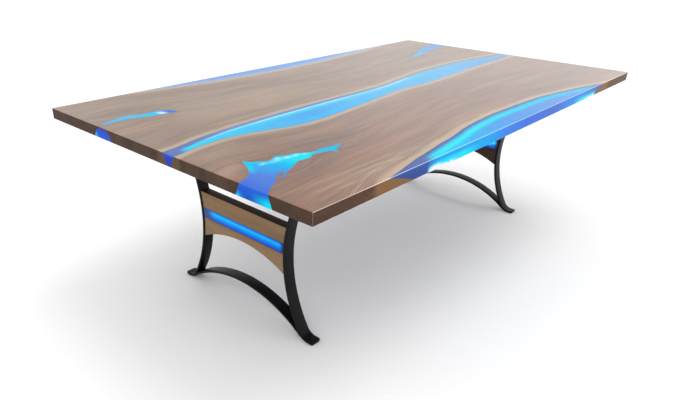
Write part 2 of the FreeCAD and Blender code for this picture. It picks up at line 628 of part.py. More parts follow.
paddle_ring = cylinder("paddle_disc", "2*(%srocker_length/2)" % X, X + "rocker_width", rx,
                       cyy + " - %srocker_width/2" % X, pivot_z, "y")
paddle_clip = box("paddle_clip", X + "rocker_length", X + "rocker_width + 2", "7.4", rx, cyy,
                  pivot_z + " - 5.4")
paddle = common("paddle_disc_clipped", paddle_ring, paddle_clip)
dish = cylinder("paddle_dish", "60", X + "rocker_width + 4", rx,
                cyy + " - %srocker_width/2 - 2" % X, pivot_z + " - 33.6", "y")
paddle = cut("paddle_dished", paddle, dish)
pivots = cylinder("paddle_pivots", X + "pivot_dia", "%srocker_width + 4.6" % X, rx,
                  cyy + " - %srocker_width/2 - 2.3" % X, pivot_z, "y")
f = doc.addObject("Part::Fuse", "rocker_switch")
f.Base, f.Tool = paddle, pivots
# at rest the rocker is tipped to its "on" stop
f.Placement = FreeCAD.Placement(V(0, 0, 0), FreeCAD.Rotation(V(0, 1, 0), D["rocker_tilt"]),
                                V(D["rocker_x"], D["case_y"], UND - ch))
node("rocker_switch", f)
node("driver_lid_screws", group("driver_lid_screws", lid_screws))
node("driver_case_screws", group("driver_case_screws", case_screws))
# the slab takes the two case screws
slab = cut("slab_front_screwed", slab_front, *slab_holes)
nodes = [(n, o) for n, o in nodes if n != "slab_front"]
node("slab_front", slab)


# ---------------------------------------------------------------------- leads
LW, LT = D["lead_width"], D["lead_thick"]


def rounded(pts, r):
    """Straight runs joined by tangent arcs: a list of (kind, points)."""
    segs, a = [], pts[0]
    for i in range(1, len(pts) - 1):
        p, q, n = V(*pts[i - 1], 0), V(*pts[i], 0), V(*pts[i + 1], 0)
        d1, d2 = (q - p).normalize(), (n - q).normalize()
        half = d1.getAngle(d2) / 2
        t = r * math.tan(half)
        s, e = q - d1 * t, q + d2 * t
        bis = (d2 - d1).normalize()
        c = q + bis * (r / math.cos(half))
        m = c - bis * r
        segs.append(("L", V(*a, 0), s))
        segs.append(("A", s, m, e))
        a = (e.x, e.y)
    segs.append(("L", V(*a, 0), V(*pts[-1], 0)))
    return segs


def lead(pts, r=30.0):
    path = Part.Wire([Part.makeLine(g[1], g[2]) if g[0] == "L" else
                      Part.Arc(g[1], g[2], g[3]).toShape() for g in rounded(pts, r)])
    t = (V(*pts[1], 0) - V(*pts[0], 0)).normalize()
    nrm = V(-t.y, t.x, 0)
    a = V(*pts[0], 0)
    prof = Part.Wire([Part.makeLine(a + nrm * (LW / 2), a + nrm * (LW / 2) + V(0, 0, LT)),
                      Part.makeLine(a + nrm * (LW / 2) + V(0, 0, LT), a - nrm * (LW / 2) + V(0, 0, LT)),
                      Part.makeLine(a - nrm * (LW / 2) + V(0, 0, LT), a - nrm * (LW / 2)),
                      Part.makeLine(a - nrm * (LW / 2), a + nrm * (LW / 2))])
    sh = path.makePipeShell([prof], True, True)
    want = path.Length * LW * LT
    print("lead", round(path.Length), "mm, volume ratio", round(sh.Volume / want, 4))
    sh.translate(V(0, 0, UND - LT))
    return sh


c_front, c_rear = D["case_y"] - cw / 2, D["case_y"] + cw / 2
RUNS = [
    [(-60, c_front), (-60, -645)],
    [(0, c_rear), (0, -33)],
    [(60, c_rear), (60, 645)],
    [(cl / 2, -258), (640, -258), (640, 333), (800, 333)],
    [(cl / 2, -312), (700, -312), (700, -392), (814, -392)],
    [(-cl / 2, -312), (-640, -312), (-640, -392), (-814, -392)],
    [(-cl / 2, -258), (-700, -258), (-700, -379), (-790, -379)],
    [(-60, c_rear), (-60, 326), (-790, 326)],
]
node("strip_leads", group("strip_leads", [
    feature("lead_%d" % i, lead(r)) for i, r in enumerate(RUNS)]))

# saddle clips over the leads
CLIPS = [(-60, -480, "y"), (0, -150, "y"), (60, -150, "y"), (60, 60, "y"), (60, 270, "y"),
         (60, 480, "y"), (250, -258, "x"), (470, -258, "x"), (640, -120, "y"), (640, 100, "y"),
         (250, -312, "x"), (500, -312, "x"), (-250, -312, "x"), (-500, -312, "x"),
         (-250, -258, "x"), (-500, -258, "x"), (-60, -130, "y"), (-60, 60, "y"), (-60, 220, "y"),
         (-250, 326, "x"), (-450, 326, "x"), (-650, 326, "x")]
clips = []
for i, (x, y, along) in enumerate(CLIPS):
    wide, deep = ("8", "17") if along == "x" else ("17", "8")
    hw, hd = ("8", X + "lead_width") if along == "x" else (X + "lead_width", "8")
    saddle = box("clip_out_%d" % i, wide, deep, X + "lead_thick + 1.6", "%g" % x, "%g" % y,
                 und + " - %slead_thick - 1.6" % X)
    slot = box("clip_slot_%d" % i, hw, hd, X + "lead_thick", "%g" % x, "%g" % y,
               und + " - %slead_thick" % X)
    clips.append(cut("clip_%d" % i, saddle, slot))
node("lead_clips", group("lead_clips", clips))

# leads down the inner faces of the front uprights to the panel strips
zs = D["panel_strip_mid"]
RI = R + TH
r_bend = 12.0


def down_lead():
    """Outline in (y, z): along the inner face, then level to the strip's end."""
    z_top = UND
    y_end = -D["panel_strip_half"] + 14.0
    out = []
    ro, ri = RI + LT, RI                    # far from and against the bar
    a_t_i = -math.asin((z_top - CZ) / ri)
    a_t_o = -math.asin((z_top - CZ) / ro)
    z_hi, z_lo = zs + LT / 2, zs - LT / 2

    def y_at(r, z):
        return CY - math.sqrt(r * r - (z - CZ) ** 2)

    pi = (-y_at(ri, z_top), z_top)
    po = (-y_at(ro, z_top), z_top)
    qi = (-y_at(ri, z_lo), z_lo)
    qo = (-y_at(ro, z_hi), z_hi)
    mi = (-y_at(ri, (z_top + z_lo) / 2), (z_top + z_lo) / 2)
    mo = (-y_at(ro, (z_top + z_hi) / 2), (z_top + z_hi) / 2)
    return [("A", pi, mi, qi), ("L", qi, (y_end, z_lo)), ("L", (y_end, z_lo), (y_end, z_hi)),
            ("L", (y_end, z_hi), qo), ("A", qo, mo, po), ("L", po, pi)]


downs = []
for tag, s in LEGS:
    body, p = pad("down_lead_" + tag, down_lead(), X + "lead_thick")
    body.Tip = p
    # against the back of the panel, beside the plate
    bind(body, Placement__Base__x="%g * (%sleg_x - %spanel_thick/2 - %slead_thick/2)" % (s, X, X, X))
    downs.append(body)
node("panel_leads", group("panel_leads", downs))

# --------------------------------------------------------------------- checks
doc.recompute()
bad = []
for o in doc.Objects:
    if any(w in ("Invalid", "Error") for w in o.State):
        bad.append((o.Label, o.State))
for label, o in nodes:
    s = o.Shape
    if s.isNull() or not s.isValid() or s.Volume <= 0:
        bad.append((label, "shape"))
if bad:
    raise SystemExit("failed: %s" % bad)

os.makedirs("parts", exist_ok=True)
for label, o in nodes:
    s = o.Shape
    b = s.BoundBox
    print("%-26s solids %3d  vol %10.0f  x %7.1f..%7.1f  y %7.1f..%7.1f  z %6.1f..%6.1f" % (
        label, len(s.Solids), s.Volume, b.XMin, b.XMax, b.YMin, b.YMax, b.ZMin, b.ZMax))
    s.exportStep("parts/%s.step" % label)
print(len(nodes), "nodes")
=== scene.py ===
import math

import bmesh
import bpy
import numpy as np
from mathutils import Matrix, Vector
from mathutils.geometry import delaunay_2d_cdt
from mathutils.kdtree import KDTree


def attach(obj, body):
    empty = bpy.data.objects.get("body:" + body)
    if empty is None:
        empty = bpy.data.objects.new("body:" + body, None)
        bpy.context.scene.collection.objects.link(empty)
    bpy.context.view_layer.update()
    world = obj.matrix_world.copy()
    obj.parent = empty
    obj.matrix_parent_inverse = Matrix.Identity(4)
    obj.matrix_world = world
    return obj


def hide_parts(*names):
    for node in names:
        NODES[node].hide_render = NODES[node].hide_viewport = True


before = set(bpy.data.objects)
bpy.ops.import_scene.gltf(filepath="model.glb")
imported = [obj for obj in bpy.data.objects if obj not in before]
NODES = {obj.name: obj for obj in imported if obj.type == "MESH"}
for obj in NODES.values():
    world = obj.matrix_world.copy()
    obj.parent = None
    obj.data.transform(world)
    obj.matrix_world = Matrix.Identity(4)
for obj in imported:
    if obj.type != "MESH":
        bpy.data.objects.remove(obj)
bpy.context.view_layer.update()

scene = bpy.context.scene

# Millimetres throughout; meshes are scaled to metres when they are made.
LX, LY, TOP, UND = 1210.0, 667.5, 762.0, 722.0
LOW = 722.2         # underside of the pieces that show their light strips
LEAN = 26.0

# ------------------------------------------------------------------ outlines
# Live edges in plan on the upper face, and the outlines of the filled voids.
MID_REAR = [(-1210, -44), (-1130, -30), (-1050, -12), (-970, 0), (-890, 9),
            (-812, 15), (-733, 18), (-574, 22), (-415, 25), (-257, 24),
            (-98, 23), (-19, 25), (60, 31), (140, 41), (219, 53), (298, 63),
            (378, 73), (457, 78), (536, 81), (616, 83), (695, 84), (775, 81),
            (854, 73), (933, 61), (1012, 50), (1092, 39), (1171, 30), (1210, 25)]
MID_FRONT = [(-1210, -103), (-1130, -86), (-1050, -75), (-970, -75), (-890, -84),
             (-812, -106), (-733, -127), (-653, -138), (-574, -139), (-495, -134),
             (-415, -127), (-336, -119), (-257, -111), (-177, -101), (-98, -92),
             (-19, -84), (60, -82), (140, -85), (219, -88), (298, -86),
             (378, -81), (457, -77), (536, -72), (616, -66), (695, -61),
             (775, -59), (854, -56), (933, -52), (1012, -49), (1092, -44),
             (1171, -38), (1210, -36)]
FRONT_EDGE = [(-884, -668), (-812, -654), (-714, -634), (-615, -620), (-516, -605),
              (-417, -593), (-317, -575), (-218, -563), (-119, -557), (-20, -553),
              (79, -556), (179, -558), (278, -564), (377, -571), (476, -587),
              (575, -605), (674, -625), (774, -650), (848, -668)]
REAR_EDGE = [(-808, 668), (-714, 642), (-615, 624), (-516, 610), (-417, 597),
             (-317, 590), (-218, 581), (-119, 577), (-20, 576), (79, 580),
             (179, 583), (278, 590), (377, 599), (476, 609), (575, 619),
             (674, 632), (774, 650), (858, 668)]
EYE_TOP = [(-1196, 342), (-1176, 354), (-1153, 363), (-1121, 369), (-1092, 377),
           (-1062, 380), (-1038, 372), (-1020, 363), (-995, 358), (-971, 355),
           (-945, 355), (-927, 351), (-904, 335), (-891, 309), (-902, 301),
           (-920, 302), (-944, 310), (-970, 314), (-996, 318), (-1020, 324),
           (-1042, 331), (-1064, 340), (-1086, 344), (-1112, 342), (-1138, 341),
           (-1166, 340), (-1185, 337)]
# Where the eye widens under the skin of the upper face, and at the underside.
EYE_WIDE = {(-1196, 342): ((-1226, 305), (-1226, 309)),
            (-1176, 354): ((-1226, 326), (-1226, 358)),
            (-1153, 363): ((-1190, 346), (-1190, 368)),
            (-1121, 369): ((-1140, 366), (-1140, 378)),
            (-1112, 342): ((-1115, 337), (-1112, 318)),
            (-1138, 341): ((-1150, 322), (-1150, 290)),
            (-1166, 340): ((-1190, 293), (-1190, 264)),
            (-1185, 337): ((-1226, 277), (-1226, 252))}
KNOT_TOP = [(-1270, -413), (-1210, -397), (-1192, -392), (-1166, -381), (-1143, -364),
            (-1127, -345), (-1113, -324), (-1102, -303), (-1093, -286), (-1087, -273),
            (-1080, -289), (-1068, -303), (-1050, -315), (-1032, -327), (-1010, -322),
            (-988, -312), (-974, -319), (-955, -331), (-932, -332), (-912, -343),
            (-893, -355), (-865, -366), (-838, -361), (-812, -363), (-785, -369),
            (-755, -371), (-737, -374), (-756, -383), (-778, -389), (-794, -397),
            (-810, -418), (-821, -408), (-824, -397), (-850, -391), (-880, -381),
            (-897, -384), (-915, -394), (-940, -394), (-966, -391), (-990, -402),
            (-1015, -413), (-1040, -424), (-1066, -438), (-1090, -454), (-1104, -464),
            (-1094, -449), (-1070, -430), (-1048, -415), (-1070, -419), (-1092, -430),
            (-1113, -444), (-1133, -462), (-1157, -474), (-1182, -488), (-1210, -509),
            (-1270, -553)]
FAR_TOP = [(710, 311), (745, 330), (790, 343), (835, 356), (872, 376), (905, 397),
           (938, 418), (975, 427), (1015, 438), (1055, 447), (1100, 457), (1150, 465),
           (1210, 472), (1217, 473), (1217, 388.5), (1210, 388), (1150, 384), (1090, 378),
           (1040, 369), (990, 363), (945, 354), (900, 340), (855, 330), (800, 318),
           (750, 310)]


# ------------------------------------------------------------- small numerics
def lin(r, g, b):
    """A display colour, 0 to 255, as linear light."""
    out = []
    for c in (r, g, b):
        c = c / 255.0
        out.append(c / 12.92 if c <= 0.04045 else ((c + 0.055) / 1.055) ** 2.4)
    return np.array(out)


def sm(a, b, x):
    t = np.clip((np.asarray(x, float) - a) / (b - a), 0.0, 1.0)
    return t * t * (3.0 - 2.0 * t)


def bell(x, mid, half):
    return np.exp(-((np.asarray(x, float) - mid) / half) ** 2)


def mixc(c0, c1, t):
    t = np.asarray(t, float)[..., None]
    return c0 + (c1 - c0) * t


def ripple(x, seed, wave):
    """Smooth repeatable noise along a line, about -1 to 1."""
    x = np.asarray(x, float) / wave + seed * 17.31
    i = np.floor(x)
    f = x - i
    h = lambda k: np.modf(np.abs(np.sin(k * 12.9898 + seed * 78.233) * 43758.5453))[0] * 2 - 1
    f = f * f * (3 - 2 * f)
    return h(i) * (1 - f) + h(i + 1) * f


def spline(pts, step):
    """Points about step apart on the smooth curve through pts."""
    p = np.array(pts, float)
    t = np.r_[0.0, np.cumsum(np.linalg.norm(np.diff(p, axis=0), axis=1))]
    n, h = len(p), np.diff(t)
    a, b = np.eye(n), np.zeros((n, 2))
    for i in range(1, n - 1):
        a[i, i - 1], a[i, i], a[i, i + 1] = h[i - 1], 2 * (h[i - 1] + h[i]), h[i]
        b[i] = 6 * ((p[i + 1] - p[i]) / h[i] - (p[i] - p[i - 1]) / h[i - 1])
    m = np.linalg.solve(a, b)
    s = np.linspace(0, t[-1], max(2, int(round(t[-1] / step))) + 1)
    k = np.clip(np.searchsorted(t, s, side="right") - 1, 0, n - 2)
    hk = h[k][:, None]
    u, v = (t[k + 1] - s)[:, None], (s - t[k])[:, None]
    return (m[k] * u ** 3 + m[k + 1] * v ** 3) / (6 * hk) \
        + (p[k] / hk - m[k] * hk / 6) * u + (p[k + 1] / hk - m[k + 1] * hk / 6) * v


def refine(pts, step, sharp=48.0):
    """A closed outline with rounded runs and its sharp points kept."""
    p = np.array(pts, float)
    n = len(p)
    fwd = np.roll(p, -1, axis=0) - p
    ln = np.linalg.norm(fwd, axis=1)
    d = fwd / ln[:, None]
    back = np.roll(d, 1, axis=0)
    turn = np.degrees(np.arccos(np.clip((d * back).sum(1), -1, 1)))
    tan = d + back
    tan /= np.maximum(np.linalg.norm(tan, axis=1), 1e-9)[:, None]
    out = []
    for i in range(n):
        j = (i + 1) % n
        ta = d[i] if turn[i] > sharp else tan[i]
        tb = d[i] if turn[j] > sharp else tan[j]
        k = max(1, int(round(ln[i] / step)))
        s = np.linspace(0, 1, k, endpoint=False)[:, None]
        out.append((2 * s ** 3 - 3 * s ** 2 + 1) * p[i] + (s ** 3 - 2 * s ** 2 + s) * ta * ln[i]
                   + (-2 * s ** 3 + 3 * s ** 2) * p[j] + (s ** 3 - s ** 2) * tb * ln[i])
    return np.vstack(out)


def moved_with(pts, other, step):
    """The refined outline of pts, shifted as its points shift to other."""
    p = np.array(pts, float)
    d = np.array(other, float) - p
    ln = np.linalg.norm(np.roll(p, -1, axis=0) - p, axis=1)
    out = []
    for i in range(len(p)):
        k = max(1, int(round(ln[i] / step)))
        s = np.linspace(0, 1, k, endpoint=False)[:, None]
        out.append(d[i] + (d[(i + 1) % len(p)] - d[i]) * s)
    return refine(pts, step) + np.vstack(out)


def inside(q, loops):
    """Even-odd test of points against a set of closed outlines."""
    hit = np.zeros(len(q), bool)
    for lp in loops:
        a, b = lp, np.roll(lp, -1, axis=0)
        for i in range(0, len(q), 4000):
            x, y = q[i:i + 4000, 0][:, None], q[i:i + 4000, 1][:, None]
            cross = (a[None, :, 1] > y) != (b[None, :, 1] > y)
            dy = b[:, 1] - a[:, 1]
            dy = np.where(np.abs(dy) < 1e-12, 1e-12, dy)
            xs = a[None, :, 0] + (y - a[None, :, 1]) * ((b[:, 0] - a[:, 0]) / dy)[None]
            hit[i:i + 4000] ^= (np.count_nonzero(cross & (x < xs), axis=1) % 2).astype(bool)
    return hit


class Near:
    """Distance to polylines in plan."""

    def __init__(self, curves, closed=False):
        self.seg = []
        pts = []
        for c in curves:
            c = np.asarray(c, float)
            for i in range(len(c)):
                pts.append((c[i], len(self.seg)))
                nb = []
                if i > 0 or closed:
                    nb.append(c[i - 1])
                if i < len(c) - 1 or closed:
                    nb.append(c[(i + 1) % len(c)])
                self.seg.append((c[i], nb))
        self.kd = KDTree(len(pts))
        for p, i in pts:
            self.kd.insert((p[0], p[1], 0.0), i)
        self.kd.balance()

    def __call__(self, q):
        out = np.empty(len(q))
        for i, (x, y) in enumerate(q):
            _, k, best = self.kd.find((x, y, 0.0))
            a, nb = self.seg[k]
            for b in nb:
                vx, vy = b[0] - a[0], b[1] - a[1]
                t = max(0.0, min(1.0, ((x - a[0]) * vx + (y - a[1]) * vy) / (vx * vx + vy * vy + 1e-12)))
                best = min(best, math.hypot(x - a[0] - vx * t, y - a[1] - vy * t))
            out[i] = best
        return out


# --------------------------------------------------------------- mesh helpers
def fill(loops, cell):
    """Triangles over a plan region: first outline outside, the others holes."""
    co, edges = [], []
    for lp in loops:
        k = len(co)
        co += [Vector((float(x), float(y))) for x, y in lp]
        edges += [(k + i, k + (i + 1) % len(lp)) for i in range(len(lp))]
    rim = KDTree(len(co))
    for i, p in enumerate(co):
        rim.insert((p.x, p.y, 0.0), i)
    rim.balance()
    lo, hi = loops[0].min(0), loops[0].max(0)
    gx = np.arange(lo[0] + cell / 2, hi[0], cell)
    gy = np.arange(lo[1] + cell / 2, hi[1], cell * 0.866)
    X, Y = np.meshgrid(gx, gy)
    X[1::2] += cell / 2
    q = np.column_stack((X.ravel(), Y.ravel()))
    q = q[inside(q, loops)]
    for x, y in q:
        if rim.find((x, y, 0.0))[2] > 0.55 * cell:
            co.append(Vector((float(x), float(y))))
    r = delaunay_2d_cdt(co, edges, [], 0, 1e-5)
    v = np.array([(p.x, p.y) for p in r[0]])
    f = np.array([t for t in r[2] if len(t) == 3])
    c = v[f].mean(axis=1)
    area = np.cross(v[f[:, 1]] - v[f[:, 0]], v[f[:, 2]] - v[f[:, 0]])
    return v, f[inside(c, loops) & (np.abs(area) > 1e-7)]


def prism(outer, holes, rows, cell, z_hi=TOP, z_lo=LOW):
    """A closed solid between upper and lower outlines, as an editable mesh.
    An outline may have further ones between, as pairs of height and points."""
    V, F = [], []

    def put(pts, z):
        k = len(V)
        V.extend((float(x), float(y), z) for x, y in pts)
        return k

    for up, dn, *mids in [outer] + holes:
        n = len(up)
        levels = [(z_hi, up)] + mids + [(z_lo, dn)]
        ks = [put(up, z_hi)]
        for (za, a), (zb, b) in zip(levels[:-1], levels[1:]):
            cuts = max(1, int(round(rows * (za - zb) / (z_hi - z_lo))))
            for r in range(1, cuts + 1):
                t = r / cuts
                ks.append(put(a + (b - a) * t, za + (zb - za) * t))
        for a, b in zip(ks[:-1], ks[1:]):
            F += [(a + i, a + (i + 1) % n, b + (i + 1) % n, b + i) for i in range(n)]
    for side, z in ((0, z_hi), (1, z_lo)):
        v, f = fill([outer[side]] + [h[side] for h in holes], cell)
        k = put(v, z)
        F += [tuple(int(i) + k for i in t) for t in f]
    bm = bmesh.new()
    vs = [bm.verts.new(p) for p in V]
    for f in F:
        try:
            bm.faces.new([vs[i] for i in f])
        except ValueError:
            pass
    bmesh.ops.remove_doubles(bm, verts=bm.verts[:], dist=2e-3)
    bmesh.ops.recalc_face_normals(bm, faces=bm.faces[:])
    return bm


def mesh_over(bm, face, no, cell):
    """Replaces a flat many-sided face by even triangles."""
    loop = list(face.verts)
    across = Vector((0, 0, 1)).cross(no).normalized()
    up = no.cross(across)
    flat = [(v.co.dot(across), v.co.dot(up)) for v in loop]
    ring = np.array(flat)
    q = []
    if cell:
        lo, hi = ring.min(0), ring.max(0)
        X, Y = np.meshgrid(np.arange(lo[0] + cell / 2, hi[0], cell), np.arange(lo[1] + cell / 2, hi[1], cell))
        q = np.column_stack((X.ravel(), Y.ravel()))
        q = q[inside(q, [ring])]
        rim = KDTree(len(flat))
        for i, (a, b) in enumerate(flat):
            rim.insert((a, b, 0.0), i)
        rim.balance()
        q = [p for p in q if rim.find((p[0], p[1], 0.0))[2] > 0.5 * cell]
    co = [Vector(p) for p in flat] + [Vector((float(a), float(b))) for a, b in q]
    n = len(flat)
    r = delaunay_2d_cdt(co, [(i, (i + 1) % n) for i in range(n)], [], 1, 1e-4)
    if len(r[0]) != len(co) or len(r[2]) != n - 2 + 2 * len(q) or any(len(t) != 3 for t in r[2]):
        bmesh.ops.triangulate(bm, faces=[face], quad_method="BEAUTY", ngon_method="BEAUTY")
        return
    depth = loop[0].co.dot(no)
    out = []
    for p, src in zip(r[0], r[3]):
        own = [i for i in src if i < n]
        out.append(loop[own[0]] if own else bm.verts.new(across * p.x + up * p.y + no * depth))
    bmesh.ops.delete(bm, geom=[face], context="FACES_ONLY")
    for t in r[2]:
        bm.faces.new([out[i] for i in t])


def slice_off(bm, co, no, cell=None):
    """Cuts away what lies outside a plane and closes the cut."""
    no = Vector(no).normalized()
    bmesh.ops.bisect_plane(bm, geom=bm.verts[:] + bm.edges[:] + bm.faces[:], dist=1e-4,
                           plane_co=co, plane_no=no, clear_outer=True)
    ends = {v for e in bm.edges if e.is_boundary for v in e.verts}
    bmesh.ops.remove_doubles(bm, verts=list(ends), dist=3e-3)
    rim = [e for e in bm.edges if e.is_boundary]
    if rim:
        made = bmesh.ops.holes_fill(bm, edges=rim, sides=0)["faces"]
        for f in made:
            mesh_over(bm, f, no, cell)


def score(bm, co, no):
    """Adds a row of points where a plane meets the mesh."""
    bmesh.ops.bisect_plane(bm, geom=bm.verts[:] + bm.edges[:] + bm.faces[:], dist=1e-4,
                           plane_co=co, plane_no=no)


def trim_to_top(bm, ends, longs, rows=(), ease=1.5):
    """Trims a piece to the block of the top, with eased edges. ends and longs
    hold -1 and 1 for the faces that the piece reaches."""
    faces = [(Vector((s, 0, 0)), LX) for s in ends] + [(Vector((0, s, 0)), LY) for s in longs]
    for d, reach in faces:
        slice_off(bm, d * reach, d, 9.0)
    for z in (TOP - 1.9,) + tuple(rows):
        score(bm, (0, 0, z), (0, 0, 1))
    for s in longs:
        score(bm, (0, s * (LY - 1.9), 0), (0, 1, 0))
    for d, reach in faces:
        mid = d * (reach - ease)
        for a in (22.5, 45.0, 67.5):
            no = d * math.cos(math.radians(a)) + Vector((0, 0, math.sin(math.radians(a))))
            slice_off(bm, mid + Vector((0, 0, TOP - ease)) + no * ease, no)
        no = (d - Vector((0, 0, 1))).normalized()
        slice_off(bm, d * (reach - 0.8) + Vector((0, 0, UND + 0.8)) + no * 0.6, no)
    for sx in ends:
        for sy in longs:
            no = Vector((sx, sy, 0)).normalized()
            c = Vector((sx * (LX - ease), sy * (LY - ease), 0))
            slice_off(bm, c + no * ease, no)
    bmesh.ops.remove_doubles(bm, verts=bm.verts[:], dist=5e-3)
    bmesh.ops.dissolve_degenerate(bm, edges=bm.edges[:], dist=5e-3)
    bmesh.ops.recalc_face_normals(bm, faces=bm.faces[:])
    loose = [v for v in bm.verts if not v.link_faces]
    if loose:
        bmesh.ops.delete(bm, geom=loose, context="VERTS")


def solid(name, bm, sharp=32.0):
    """The finished object of an editable mesh in millimetres."""
    open_edges = sum(1 for e in bm.edges if not e.is_manifold)
    if open_edges:
        print("open edges", name, open_edges)
    me = bpy.data.meshes.new(name)
    bm.to_mesh(me)
    bm.free()
    me.transform(Matrix.Scale(0.001, 4))
    me.polygons.foreach_set("use_smooth", np.ones(len(me.polygons), bool))
    me.set_sharp_from_angle(angle=math.radians(sharp))
    ob = bpy.data.objects.new(name, me)
    scene.collection.objects.link(ob)
    return ob


def coords(ob):
    co = np.zeros(len(ob.data.vertices) * 3)
    ob.data.vertices.foreach_get("co", co)
    return co.reshape(-1, 3) * 1000.0


def put_float(ob, name, values):
    at = ob.data.attributes.new(name, "FLOAT", "POINT")
    at.data.foreach_set("value", np.asarray(values, np.float32))


def put_vector(ob, name, values):
    at = ob.data.attributes.new(name, "FLOAT_VECTOR", "POINT")
    at.data.foreach_set("vector", np.asarray(values, np.float32).ravel())


def put_colour(ob, name, values):
    at = ob.data.attributes.new(name, "FLOAT_COLOR", "POINT")
    rgba = np.column_stack((values, np.ones(len(values))))
    at.data.foreach_set("color", rgba.astype(np.float32).ravel())


def place(ob, node, body="table"):
    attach(ob, body)
    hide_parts(node)
    return ob


# ------------------------------------------------------------ node materials
GLOSS = 0.02        # how much the resin's own face reflects


class Mat:
    """A node material, with short calls for the nodes it needs."""

    def __init__(self, name):
        self.mat = bpy.data.materials.new(name)
        self.mat.use_nodes = True
        self.t = self.mat.node_tree
        self.bsdf = next(n for n in self.t.nodes if n.type == "BSDF_PRINCIPLED")

    def set(self, **vals):
        for k, v in vals.items():
            s = self.bsdf.inputs[k.replace("_", " ")]
            if hasattr(v, "is_linked"):
                self.t.links.new(v, s)
            else:
                s.default_value = tuple(v) + (1.0,) if hasattr(v, "__len__") and len(v) == 3 else v
        return self

    def node(self, kind, props=None, **ins):
        n = self.t.nodes.new(kind)
        for k, v in (props or {}).items():
            setattr(n, k, v)
        for k, v in ins.items():
            s = n.inputs[int(k[1:])] if k[0] == "i" and k[1:].isdigit() else n.inputs[k]
            if hasattr(v, "is_linked"):
                self.t.links.new(v, s)
            else:
                s.default_value = v
        return n

    def attr(self, name, out="Fac"):
        return self.node("ShaderNodeAttribute", {"attribute_name": name}).outputs[out]

    def m(self, op, a, b=0.0, c=0.0, clamp=False):
        return self.node("ShaderNodeMath", {"operation": op, "use_clamp": clamp},
                         i0=a, i1=b, i2=c).outputs[0]

    def xyz(self, vec):
        return self.node("ShaderNodeSeparateXYZ", i0=vec).outputs

    def vec(self, x, y, z):
        return self.node("ShaderNodeCombineXYZ", i0=x, i1=y, i2=z).outputs[0]

    def here(self):
        return self.node("ShaderNodeTexCoord").outputs["Object"]

    def noise(self, vec, scale=1.0, detail=2.0, rough=0.5, lac=2.0, dist=0.0):
        return self.node("ShaderNodeTexNoise", None, Vector=vec, Scale=scale, Detail=detail,
                         Roughness=rough, Lacunarity=lac, Distortion=dist).outputs["Fac"]

    def span(self, v, a, b, lo=0.0, hi=1.0):
        return self.node("ShaderNodeMapRange", {"interpolation_type": "SMOOTHSTEP"},
                         i0=v, i1=a, i2=b, i3=lo, i4=hi).outputs[0]

    def ramp(self, v, stops):
        n = self.node("ShaderNodeValToRGB", None, Fac=v)
        el = n.color_ramp.elements
        while len(el) < len(stops):
            el.new(0.5)
        for e, (pos, col) in zip(el, stops):
            e.position = pos
            e.color = tuple(col) + (1.0,)
        return n.outputs[0]

    def mix(self, t, a, b, mode="MIX"):
        n = self.t.nodes.new("ShaderNodeMix")
        n.data_type, n.blend_type, n.clamp_factor = "RGBA", mode, True
        for s, v in ((n.inputs[0], t), (n.inputs[6], a), (n.inputs[7], b)):
            if hasattr(v, "is_linked"):
                self.t.links.new(v, s)
            elif hasattr(v, "__len__"):
                s.default_value = tuple(v)[:3] + (1.0,)
            else:
                s.default_value = v
        return n.outputs[2]

    def bump(self, h, strength, dist):
        n = self.node("ShaderNodeBump", None, Strength=strength, Distance=dist, Height=h)
        self.t.links.new(n.outputs[0], self.bsdf.inputs["Normal"])
        return self


